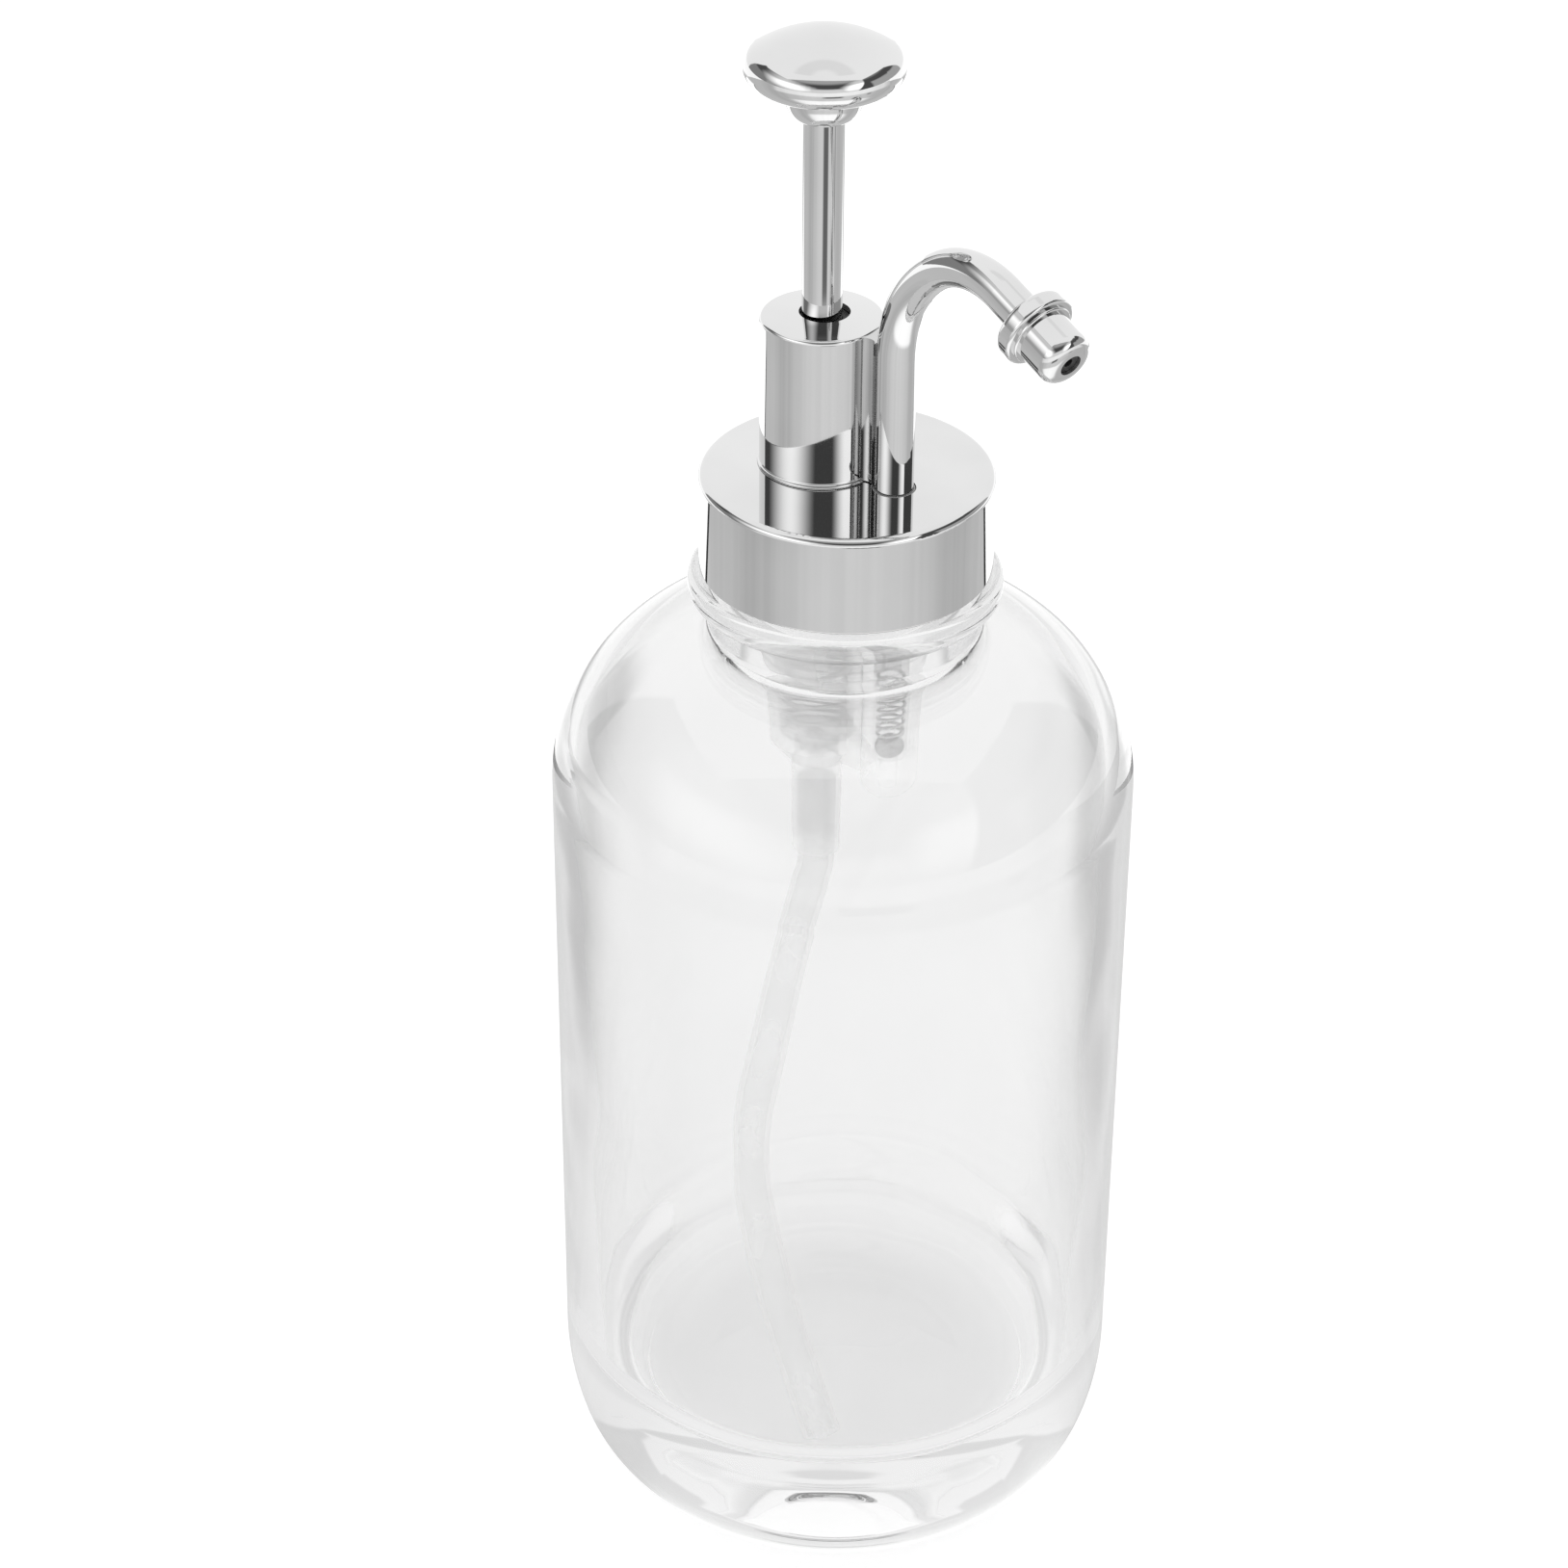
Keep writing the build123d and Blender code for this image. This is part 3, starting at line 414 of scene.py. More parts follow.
beyond = sum_of(paper_tree, "MULTIPLY", ramp(paper_tree, behind, PANEL_END - 0.01, PANEL_END),
                ramp(paper_tree, distance, 0.46, 0.60, BEYOND, FAR_LEVEL))
edge_line = sum_of(paper_tree, "MULTIPLY", edge_reach,
                   ramp(paper_tree, behind, EDGE_BEHIND - MM, EDGE_BEHIND + MM, 0.0, EDGE_DARKNESS))
sheet_ends = sum_of(paper_tree, "SUBTRACT", 1.0, edge_line)
level = sum_of(paper_tree, "MAXIMUM", sum_of(paper_tree, "MULTIPLY", sheet, sheet_ends),
               sum_of(paper_tree, "MAXIMUM", panel, beyond))
# Painted light: mirror rays see the paper as this emission, and not as lit paper.
mirrored = paper_tree.nodes.new("ShaderNodeEmission")
paper_tree.links.new(level, mirrored.inputs["Strength"])
either = paper_tree.nodes.new("ShaderNodeMixShader")
not_through = sum_of(paper_tree, "SUBTRACT", 1.0, through)
outside_glass = ramp(paper_tree, rays.outputs["Transmission Depth"], 0, 1, 1.0, 0.15)
by_mirror = sum_of(paper_tree, "MULTIPLY", rays.outputs["Is Glossy Ray"],
                   sum_of(paper_tree, "MULTIPLY", not_through, outside_glass))
paper_tree.links.new(by_mirror, either.inputs["Fac"])
paper_tree.links.new(paper_shader.outputs["BSDF"], either.inputs[1])
paper_tree.links.new(mirrored.outputs["Emission"], either.inputs[2])
paper_tree.links.new(either.outputs["Shader"], paper_tree.nodes["Material Output"].inputs["Surface"])
print("the sheet ends", EDGE_BEHIND, "m behind the dispenser")

# %% [markdown]
# ## Effects that finishes share
# No real surface is quite even.  Three effects are used again and again: a slow drift of a value,
# such as how polished a metal is; a slow drift of colour; and a gentle unevenness of the surface.
# Each is a node group, and each material places it with values of its own.

# %% Group helpers
def start_group(name, inputs, output):
    """A node group with number inputs and their usual values, and one output."""
    group = bpy.data.node_groups.new(name, "ShaderNodeTree")
    for label, usual in inputs.items():
        kind = "NodeSocketColor" if isinstance(usual, tuple) else "NodeSocketFloat"
        socket = group.interface.new_socket(label, in_out="INPUT", socket_type=kind)
        socket.default_value = usual
    label, kind = output
    group.interface.new_socket(label, in_out="OUTPUT", socket_type=kind)
    entry = group.nodes.new("NodeGroupInput")
    leave = group.nodes.new("NodeGroupOutput")
    return group, entry, leave


def object_noise(tree, entry, detail):
    """Noise in the piece's own space, as fine as the group's Scale input says."""
    where = tree.nodes.new("ShaderNodeTexCoord")
    noise = add_node(tree, "ShaderNodeTexNoise", Detail=detail, Roughness=0.55)
    tree.links.new(where.outputs["Object"], noise.inputs["Vector"])
    tree.links.new(entry.outputs["Scale"], noise.inputs["Scale"])
    return noise


# %% Value drift
value_drift, entry, leave = start_group(
    "value drift", {"Scale": 80.0, "Low": 0.2, "High": 0.4}, ("Value", "NodeSocketFloat"))
noise = object_noise(value_drift, entry, 4.0)
span = add_node(value_drift, "ShaderNodeMapRange", From_Min=0.32, From_Max=0.68)
value_drift.links.new(noise.outputs["Fac"], span.inputs["Value"])
value_drift.links.new(entry.outputs["Low"], span.inputs["To Min"])
value_drift.links.new(entry.outputs["High"], span.inputs["To Max"])
value_drift.links.new(span.outputs["Result"], leave.inputs["Value"])

# %% Colour drift
colour_drift, entry, leave = start_group(
    "colour drift",
    {"Scale": 60.0, "One": (0.8, 0.8, 0.8, 1.0), "Other": (0.9, 0.9, 0.9, 1.0)},
    ("Color", "NodeSocketColor"))
noise = object_noise(colour_drift, entry, 3.0)
blend = colour_drift.nodes.new("ShaderNodeMix")
blend.data_type = "RGBA"
span = add_node(colour_drift, "ShaderNodeMapRange", From_Min=0.35, From_Max=0.65)
colour_drift.links.new(noise.outputs["Fac"], span.inputs["Value"])
colour_drift.links.new(span.outputs["Result"], blend.inputs["Factor"])
colour_drift.links.new(entry.outputs["One"], blend.inputs[6])
colour_drift.links.new(entry.outputs["Other"], blend.inputs[7])
colour_drift.links.new(blend.outputs[2], leave.inputs["Color"])

# %% Unevenness
unevenness, entry, leave = start_group(
    "unevenness", {"Scale": 60.0, "Depth": 0.00002}, ("Normal", "NodeSocketVector"))
noise = object_noise(unevenness, entry, 2.0)
bump = unevenness.nodes.new("ShaderNodeBump")
bump.inputs["Strength"].default_value = 1.0
unevenness.links.new(noise.outputs["Fac"], bump.inputs["Height"])
unevenness.links.new(entry.outputs["Depth"], bump.inputs["Distance"])
unevenness.links.new(bump.outputs["Normal"], leave.inputs["Normal"])
print("shared effects:", [g.name for g in bpy.data.node_groups])


# %% Placing a group in a material
def use_group(tree, group, target, **values):
    """Places a group in a material's tree and feeds one socket of its shader."""
    node = tree.nodes.new("ShaderNodeGroup")
    node.node_tree = group
    for name, value in values.items():
        node.inputs[name].default_value = value
    tree.links.new(node.outputs[0], target)
    return node


def grey(level):
    """A neutral colour."""
    return (level, level, level, 1.0)


def finish_node(material, *names):
    """Gives pieces this finish, in every material slot they have."""
    for name in names:
        piece = bpy.data.objects[name]
        if not piece.data.materials:
            piece.data.materials.append(material)
        for index in range(len(piece.data.materials)):
            piece.data.materials[index] = material
    print(material.name, "on", ", ".join(names))


# %% [markdown]
# ## Turning a piece
# The bottle, the turret and the seal under the spout are all round, so they are made as on a
# lathe: an outline is drawn by extruding one vertex from point to point, and is then spun about
# an upright axis.  A few rings and a subdivision surface would be quicker, but wouldn't keep a
# round stretch true.  Those are arcs here, and a mirror needs them finely divided.

# %% Outlines
def arc(centre, radii, start, stop, count):
    """Points along a round stretch, from one angle to another.  Two radii make it an ellipse."""
    wide, tall = radii if isinstance(radii, tuple) else (radii, radii)
    turns = [math.radians(start + (stop - start) * step / count) for step in range(count + 1)]
    return [(centre[0] + wide * math.cos(t), centre[1] + tall * math.sin(t)) for t in turns]


def run(start, stop, count):
    """Points along a straight stretch, with one close to each end to keep it crisp."""
    near = 0.05 / math.dist(start, stop)
    shares = [0, near] + [step / count for step in range(1, count)] + [1 - near, 1]
    return [tuple(a + (b - a) * share for a, b in zip(start, stop)) for share in shares]


def joined(*stretches):
    """One outline from its stretches, without doubled points."""
    points = []
    for stretch in stretches:
        for point in stretch:
            if not points or math.dist(point, points[-1]) > 1e-4:
                points.append(point)
    return points


# %% The lathe
def begin_piece(name, primitive, **settings):
    """Adds a primitive with nothing else selected, and opens it in edit mode."""
    bpy.ops.object.select_all(action="DESELECT")
    primitive(**settings)
    piece = bpy.context.object
    piece.name = piece.data.name = name
    bpy.ops.object.mode_set(mode="EDIT")
    return piece


def end_piece(piece, sharp=40):
    """Closes seams, turns the faces outwards, smooths the shading and puts the origin at zero."""
    bpy.ops.mesh.select_all(action="SELECT")
    bpy.ops.mesh.remove_doubles(threshold=0.001 * MM)
    bpy.ops.mesh.normals_make_consistent(inside=False)
    bpy.ops.object.mode_set(mode="OBJECT")
    bpy.ops.object.transform_apply(location=True, rotation=True, scale=True)
    bpy.ops.object.shade_smooth_by_angle(angle=math.radians(sharp))
    print(piece.name, "has", len(piece.data.polygons), "faces")
    return piece


def turned(name, outline, axis=Vector((0, 0, 0)), steps=160, sharp=40):
    """A piece turned about an upright axis, from an outline of (radius, height) in millimetres."""
    start = axis + Vector((outline[0][0] * MM, 0, outline[0][1] * MM))
    piece = begin_piece(name, bpy.ops.mesh.primitive_plane_add, size=MM, location=start)
    bpy.ops.mesh.merge(type="CENTER")
    for before, after in zip(outline, outline[1:]):
        step = ((after[0] - before[0]) * MM, 0, (after[1] - before[1]) * MM)
        bpy.ops.mesh.extrude_region_move(TRANSFORM_OT_translate={"value": step})
    bpy.ops.mesh.select_all(action="SELECT")
    bpy.ops.mesh.spin(steps=steps, angle=math.tau, center=axis, axis=UP)
    return end_piece(piece, sharp)


def wear(piece, body, slot, *nodes):
    """The piece rides on a body and stands for nodes.  Its slot is not used."""
    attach(piece, body)
    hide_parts(*nodes)
    return piece


# %% [markdown]
# ## The glass bottle
# The bottle was blown into a mould: its outside is true, and its inside wanders a little, which
# is what puts soft streaks in clear glass.  Its floor is very thick.  Under it is a shallow hollow,
# so that it stands on a ring, and round its neck runs one turn and a half of thread.  One outline
# takes in both sides of the wall, so that light bends twice in it, as it does in real glass.

# %% Sizes of the bottle
BODY_R, BODY_TOP = bottle_high.x / MM, 118.3
LIP_Z = bottle_high.z / MM
HEEL_R, HEEL_X, HEEL_ANGLE = 18.8, BODY_R - 19.5, 73.5
SHOULDER = (26.3, 24.7)
NECK_R, NECK_FLARE, NECK_FOOT = 18.5, 1.2, 1.4
BEAD_R, BEAD_Z, BEAD_HEIGHT, BEAD_EDGE = 21.2, LIP_Z - 14.3, 3.4, 1.5
FINISH_R, LIP_ROUND, BORE_R = 16.4, 0.6, 14.2
WALL, FLOOR_Z, FLOOR_R, FLOOR_CURVE = 3.2, 22.0, 25.0, 8.0
THROAT_ROUND, CROWN_Z = 2.0, 139.6
PUNT_R, PUNT_DEPTH = 16.5, 1.1
THICKER_LOW = 1.5
CREASE_ANGLE, CREASE_WIDTH, CREASE_DEPTH = -52, 1.3, 0.16
print("bottle %.1f mm wide, %.1f mm tall, lip bore %.1f mm" % (2 * BODY_R, LIP_Z, 2 * BORE_R))


# %% Outline of the bottle
def bottle_outline():
    """Down the middle of the base, out round the heel, up to the lip and back down the inside."""
    lean = math.radians(HEEL_ANGLE)
    side_r = (BODY_R - HEEL_X - HEEL_R * math.sin(lean)) / (1 - math.sin(lean))
    side_z = HEEL_R * (1 - math.cos(lean)) + side_r * math.cos(lean)
    shoulder_x = BODY_R - SHOULDER[0]
    neck_turn = math.degrees(math.acos((NECK_R + NECK_FLARE - shoulder_x) / SHOULDER[0]))
    shoulder = arc((shoulder_x, BODY_TOP), SHOULDER, 0, neck_turn, 34)
    neck_z = shoulder[-1][1] + NECK_FOOT
    heel = []
    for turn in range(-90, math.floor(HEEL_ANGLE) - 89):
        dip = CREASE_DEPTH * math.exp(-((turn - CREASE_ANGLE) / CREASE_WIDTH) ** 2)
        heel.append(arc((HEEL_X, HEEL_R), HEEL_R - dip, turn, turn, 1)[0])
    punt = [(PUNT_R * step / 8, PUNT_DEPTH * math.cos(math.pi / 2 * step / 8) ** 2) for step in range(9)]
    outside = joined(
        punt,
        run(punt[-1], (HEEL_X, 0.0), 3),
        heel,
        arc((BODY_R - side_r, side_z), side_r, HEEL_ANGLE - 90, 0, 6),
        run((BODY_R, side_z), (BODY_R, BODY_TOP), 24),
        shoulder,
        [(NECK_R + 0.3, shoulder[-1][1] + 0.5), (NECK_R, neck_z)],
        run((NECK_R, neck_z), (NECK_R, BEAD_Z), 4),
        run((NECK_R, BEAD_Z), (BEAD_R - BEAD_EDGE, BEAD_Z), 2),
        arc((BEAD_R - BEAD_EDGE, BEAD_Z + BEAD_EDGE), BEAD_EDGE, -90, 0, 8),
        arc((BEAD_R - BEAD_EDGE, BEAD_Z + BEAD_HEIGHT - BEAD_EDGE), BEAD_EDGE, 0, 90, 8),
        run((BEAD_R - BEAD_EDGE, BEAD_Z + BEAD_HEIGHT), (FINISH_R, BEAD_Z + BEAD_HEIGHT), 2),
        run((FINISH_R, BEAD_Z + BEAD_HEIGHT), (FINISH_R, LIP_Z - LIP_ROUND), 34),
        arc((FINISH_R - LIP_ROUND, LIP_Z - LIP_ROUND), LIP_ROUND, 0, 90, 5),
    )
    inner_r = BODY_R - WALL
    low_r = inner_r - THICKER_LOW
    crown_r = BORE_R + THROAT_ROUND
    inside = joined(
        arc((BORE_R + LIP_ROUND, LIP_Z - LIP_ROUND), LIP_ROUND, 90, 180, 5),
        run((BORE_R, LIP_Z - LIP_ROUND), (BORE_R, CROWN_Z + THROAT_ROUND), 10),
        arc((crown_r, CROWN_Z + THROAT_ROUND), THROAT_ROUND, 180, 270, 8),
        arc((crown_r, BODY_TOP), (inner_r - crown_r, CROWN_Z - BODY_TOP), 90, 0, 30),
        run((inner_r, BODY_TOP), (low_r, FLOOR_Z + FLOOR_CURVE), 24),
        arc((FLOOR_R, FLOOR_Z + FLOOR_CURVE), (low_r - FLOOR_R, FLOOR_CURVE), 0, -90, 14),
        run((FLOOR_R, FLOOR_Z), (0, FLOOR_Z), 7),
    )
    return joined(outside, inside)


bottle = turned("glass_bottle", bottle_outline(), steps=192)

# %% The thread, one turn and a half of rounded ridge
THREAD_RISE, THREAD_TURNS, THREAD_DEPTH, THREAD_HALF = 4.0, 1.6, 0.85, 0.95
THREAD_START, THREAD_FADE = 2.2, 0.08


def ridge_height(angle, height):
    """How far the thread stands out of the neck at an angle, in turns, and a height below the lip."""
    nearest = round((height - THREAD_START) / THREAD_RISE - angle)
    along = nearest + angle
    if not 0 <= along <= THREAD_TURNS:
        return 0.0
    off = abs(height - THREAD_START - along * THREAD_RISE) / THREAD_HALF
    fade = min(1.0, along / THREAD_FADE, (THREAD_TURNS - along) / THREAD_FADE)
    return THREAD_DEPTH * fade * math.cos(min(off, 1.0) * math.pi / 2) ** 2


moved = 0
for vertex in bottle.data.vertices:
    x, y, z = vertex.co / MM
    if abs(math.hypot(x, y) - FINISH_R) < 0.01 and BEAD_Z + BEAD_HEIGHT < z < LIP_Z:
        out = ridge_height(math.atan2(y, x) / math.tau % 1.0, LIP_Z - z)
        vertex.co.x *= 1 + out / FINISH_R
        vertex.co.y *= 1 + out / FINISH_R
        moved += out > 0
print("thread raises", moved, "vertices")

# %% The inside wanders
WANDER = 0.22
WANDER_SIZE = 0.028

inside = bottle.vertex_groups.new(name="inside")
for vertex in bottle.data.vertices:
    x, y, z = vertex.co / MM
    within = math.hypot(x, y) < BODY_R - WALL / 2 and FLOOR_Z - 1 < z < CROWN_Z + 1
    if within:
        shoulder_fade = min(1.0, max(0.0, (CROWN_Z + 1 - z) / 8))
        inside.add([vertex.index], shoulder_fade, "REPLACE")
waves = bpy.data.textures.new("slow waves", "CLOUDS")
waves.noise_scale = WANDER_SIZE
waves.noise_depth = 1
wander = bottle.modifiers.new("wander", "DISPLACE")
wander.texture = waves
wander.texture_coords = "LOCAL"
wander.vertex_group = "inside"
wander.mid_level = 0.5
wander.strength = 2 * WANDER * MM
bpy.context.view_layer.objects.active = bottle
bpy.ops.object.modifier_apply(modifier="wander")
wear(bottle, "bottle", "glass", "bottle")

# %% [markdown]
# ## The two springs
# Each spring is drawn wire in a coil, with a dead turn at both ends.  A screw modifier would give
# every turn the same rise, so the coil is a line with a round thickness instead, which is then
# made a mesh.

# %% Springs
DEAD_TURN = 0.75


def spring(name, axis, mean_r, wire, bottom, top, turns, steps=28):
    """A coil of round wire between two levels, with a flat dead turn at each end."""
    bpy.ops.object.select_all(action="DESELECT")
    line = bpy.data.curves.new(name, "CURVE")
    line.dimensions = "3D"
    line.bevel_depth = wire / 2 * MM
    line.bevel_resolution = 2
    line.use_fill_caps = True
    path = line.splines.new("POLY")
    count = turns * steps
    path.points.add(count)
    rise = top - bottom - wire
    for index in range(count + 1):
        angle = math.tau * index / steps
        share = min(max((index / steps - DEAD_TURN) / (turns - 2 * DEAD_TURN), 0.0), 1.0)
        z = bottom + wire / 2 + rise * share
        path.points[index].co = (
            axis.x + mean_r * MM * math.cos(angle), axis.y + mean_r * MM * math.sin(angle), z * MM, 1)
    coil = bpy.data.objects.new(name, line)
    bpy.context.scene.collection.objects.link(coil)
    bpy.context.view_layer.objects.active = coil
    coil.select_set(True)
    bpy.ops.object.convert(target="MESH")
    bpy.ops.object.shade_smooth()
    coil = bpy.context.object
    print(coil.name, "has", len(coil.data.polygons), "faces")
    return coil


spring_low, spring_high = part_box("return_spring")
RETURN_WIRE = 0.9
return_coil = spring(
    "return_coil", turret_axis, (spring_high.x - spring_low.x) / 2 / MM - RETURN_WIRE / 2, RETURN_WIRE,
    spring_low.z / MM, spring_high.z / MM, 14)
wear(return_coil, "pump_head", "spring_steel", "return_spring")
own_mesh(return_coil)

valve_low, valve_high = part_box("outlet_spring")
VALVE_WIRE = 0.5
valve_coil = spring(
    "valve_coil", spout_axis, (valve_high.x - valve_low.x) / 2 / MM - VALVE_WIRE / 2, VALVE_WIRE,
    valve_low.z / MM, valve_high.z / MM, 8)
wear(valve_coil, "pump_head", "spring_steel", "outlet_spring")
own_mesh(valve_coil)

# %% [markdown]
# ## The turret
# The turret is a casting.  It was polished on a wheel after it was cast, which left its top
# slightly domed, so the rod's reflection narrows towards the edge.  It stands on a small foot ring.
# Its hole is a little off centre, so the gap round the rod is wider on one side.  A boolean cut
# would leave stray edges on a mirror, so the hole is extruded from the top's inner ring.

# %% The turret
TURRET_R, TURRET_EDGE, DOME_RISE = 8.15, 0.55, 0.55
FOOT_RING, FOOT_RING_HEIGHT, FOOT_HOLLOW, FOOT_ROUND = 0.28, 0.32, 0.25, 0.3
CAP_TOP = cap_high.z / MM
TURRET_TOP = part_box("pump_housing")[1].z / MM
LAND_R = 3.9
HOLE_R, HOLE_SHIFT, HOLE_DEPTH = 3.38, Vector((0.27, 0.21, 0)), 0.9
axis_flat = Vector((turret_axis.x, turret_axis.y, 0))


def turret_outline():
    """From just outside the hole, over the domed top and down to the foot ring."""
    rim_r = TURRET_R - TURRET_EDGE
    top = [LAND_R + (rim_r - LAND_R) * step / 12 for step in range(13)]
    domed = [(r, TURRET_TOP + DOME_RISE * (1 - (r / rim_r) ** 2)) for r in top]
    foot_r = TURRET_R + FOOT_RING
    foot_top = CAP_TOP + FOOT_RING_HEIGHT
    return joined(
        domed,
        arc((rim_r, TURRET_TOP - TURRET_EDGE), TURRET_EDGE, 80, 0, 8),
        run((TURRET_R, TURRET_TOP - TURRET_EDGE), (TURRET_R, foot_top + FOOT_HOLLOW), 12),
        arc((TURRET_R + FOOT_HOLLOW, foot_top + FOOT_HOLLOW), FOOT_HOLLOW, 180, 270, 5),
        arc((foot_r - FOOT_ROUND, foot_top - FOOT_ROUND), FOOT_ROUND, 90, 0, 6),
        [(foot_r, CAP_TOP + 0.02)],
    )


turret = turned("turret", turret_outline(), axis=axis_flat, steps=192)

# %% The hole in its top
bpy.context.view_layer.objects.active = turret
bpy.ops.object.mode_set(mode="EDIT")
bpy.ops.mesh.select_mode(type="VERT")
bpy.ops.mesh.select_all(action="DESELECT")
bpy.ops.object.mode_set(mode="OBJECT")
for vertex in turret.data.vertices:
    out = Vector((vertex.co.x, vertex.co.y, 0)) - axis_flat
    vertex.select = out.length < (LAND_R + 0.05) * MM
bpy.ops.object.mode_set(mode="EDIT")
bpy.ops.mesh.extrude_region_move()
bpy.ops.object.mode_set(mode="OBJECT")
for vertex in turret.data.vertices:
    if vertex.select:
        out = Vector((vertex.co.x, vertex.co.y, 0)) - axis_flat
        vertex.co.xy = (axis_flat + HOLE_SHIFT * MM + out.normalized() * HOLE_R * MM).xy
        vertex.co.z += 0.04 * MM
bpy.ops.object.mode_set(mode="EDIT")
bpy.ops.mesh.extrude_region_move(TRANSFORM_OT_translate={"value": (0, 0, -HOLE_DEPTH * MM)})
bpy.ops.mesh.select_all(action="SELECT")
bpy.ops.mesh.normals_make_consistent(inside=False)
bpy.ops.object.mode_set(mode="OBJECT")
bpy.ops.object.shade_smooth_by_angle(angle=math.radians(40))
wear(turret, "pump_head", "chrome", "pump_housing")

# %% [markdown]
# ## The web between turret and spout
# A narrow web braces the spout against the turret.  It flares where it meets each of them, which
# gives it upright strips of light and dark, and it stops just short of the cap.  A circle's
# vertices are moved to its outline, and the face is extruded upwards and its edges are rounded.

# %% The web
WEB_HALF, WEB_FLARE = 1.2, 1.15
SPOUT_R, WEB_IN_TURRET, WEB_IN_SPOUT = 2.6, 0.5, 0.55
WEB_LEFT = turret_axis.x / MM + TURRET_R - WEB_IN_TURRET
WEB_RIGHT = spout_axis.x / MM - SPOUT_R + WEB_IN_SPOUT
WEB_FOOT, WEB_TOP = CAP_TOP + 0.15, TURRET_TOP - 0.25


def web_half(x):
    """Half the web's thickness, which flares at both ends."""
    across = (x - WEB_LEFT) / (WEB_RIGHT - WEB_LEFT) * 2 - 1
    return WEB_HALF + WEB_FLARE * (1 - math.sqrt(max(0.0, 1 - across ** 2 * 0.98)))


web_x = [WEB_LEFT + (WEB_RIGHT - WEB_LEFT) * (0.5 - 0.5 * math.cos(math.pi * s / 18)) for s in range(19)]
corners = [(x, -web_half(x)) for x in web_x] + [(x, web_half(x)) for x in reversed(web_x)]
web = begin_piece("web", bpy.ops.mesh.primitive_circle_add, vertices=len(corners), radius=MM,
                  fill_type="NGON", location=(0, 0, WEB_FOOT * MM))
bpy.ops.object.mode_set(mode="OBJECT")
for vertex, corner in zip(web.data.vertices, corners):
    vertex.co.xy = (corner[0] * MM, corner[1] * MM)
bpy.ops.object.mode_set(mode="EDIT")
bpy.ops.mesh.select_all(action="SELECT")
bpy.ops.mesh.extrude_region_move(TRANSFORM_OT_translate={"value": (0, 0, (WEB_TOP - WEB_FOOT) * MM)})
end_piece(web, sharp=35)
edges = web.modifiers.new("rounded ends", "BEVEL")
edges.width = 0.35 * MM
edges.segments = 3
edges.limit_method = "ANGLE"
edges.angle_limit = math.radians(60)
bpy.context.view_layer.objects.active = web
bpy.ops.object.modifier_apply(modifier="rounded ends")
bpy.ops.object.shade_smooth_by_angle(angle=math.radians(50))
wear(web, "pump_head", "chrome", "pump_housing")

# %% [markdown]
# ## The seal under the spout
# The spout comes up through the cap with room to turn.  The rubber ring that seals it underneath
# has a thin lip, which stands up in that gap and nearly fills it, so little of it shows dark.

# %% The spout's seal
LIP_T, LIP_SINK = 0.25, 0.08
SEAL_ROUND, SEAL_GAP = 0.25, 0.06
seal_low, seal_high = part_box("spout_seal")
seal_r = (seal_high.x - seal_low.x) / 2 / MM
seal_bottom, seal_top = seal_low.z / MM, seal_high.z / MM
seal_outline = joined(
    [(SPOUT_R + SEAL_GAP, seal_bottom + 0.15), (SPOUT_R + 0.2, seal_bottom)],
    arc((seal_r - SEAL_ROUND, seal_bottom + SEAL_ROUND), SEAL_ROUND, -90, 0, 4),
    arc((seal_r - SEAL_ROUND, seal_top - SEAL_ROUND), SEAL_ROUND, 0, 90, 4),
    [(SPOUT_R + LIP_T, seal_top)],
    arc((SPOUT_R + LIP_T - 0.05, CAP_TOP - LIP_SINK - 0.05), 0.05, 0, 90, 3),
    [(SPOUT_R + 0.02, CAP_TOP - LIP_SINK), (SPOUT_R + SEAL_GAP, seal_bottom + 0.15)],
)
spout_lip = turned("spout_lip", seal_outline, axis=Vector((spout_axis.x, spout_axis.y, 0)), steps=96)
wear(spout_lip, "pump_head", "black_rubber", "spout_seal")

# %% [markdown]
# ## Chrome
# Chrome plate is a mirror that takes about a third of the light away.  On a cast and plated pump
# it is not optically flat: a very shallow unevenness lets its reflections wander a little, and
# handling leaves it slightly hazier in places.

# %% Chrome
chrome, tree, shader = start_material("polished chrome")
shader.inputs["Metallic"].default_value = 1.0
use_group(tree, colour_drift, shader.inputs["Base Color"], Scale=45.0, One=grey(0.64), Other=grey(0.68))
use_group(tree, value_drift, shader.inputs["Roughness"], Scale=70.0, Low=0.015, High=0.05)
use_group(tree, unevenness, shader.inputs["Normal"], Scale=55.0, Depth=0.00001)
finish_node(chrome, "cap_shell", "turret", "plunger_rod", "knob_hub", "knob",
            "spout_tube", "nozzle_collar", "nozzle_tip")

# %% [markdown]
# The web between the turret and the spout has duller, rougher plating, and its colour is painted
# darker, as painted shade between the two.

# %% Chrome on the web, with painted shade
shaded_dull_chrome, tree, shader = start_material("dull chrome with painted shade")
shader.inputs["Metallic"].default_value = 1.0
# Painted shade: the web's colour is darker than the polished chrome's.
use_group(tree, colour_drift, shader.inputs["Base Color"], Scale=90.0, One=grey(0.48), Other=grey(0.56))
use_group(tree, value_drift, shader.inputs["Roughness"], Scale=120.0, Low=0.04, High=0.10)
use_group(tree, unevenness, shader.inputs["Normal"], Scale=110.0, Depth=0.00003)
finish_node(shaded_dull_chrome, "web")

# %% [markdown]
# ## Glass
# The glass is clear soda-lime.  Lamps shine through it: its shader gives way to a clear one for
# shadow rays, which keeps what is inside the bottle lit and its shadow on the floor light.  Where
# the wall is seen at a slant, the glass's colour is painted a little darker, as painted shade at
# its edges; near the floor it is left clear.

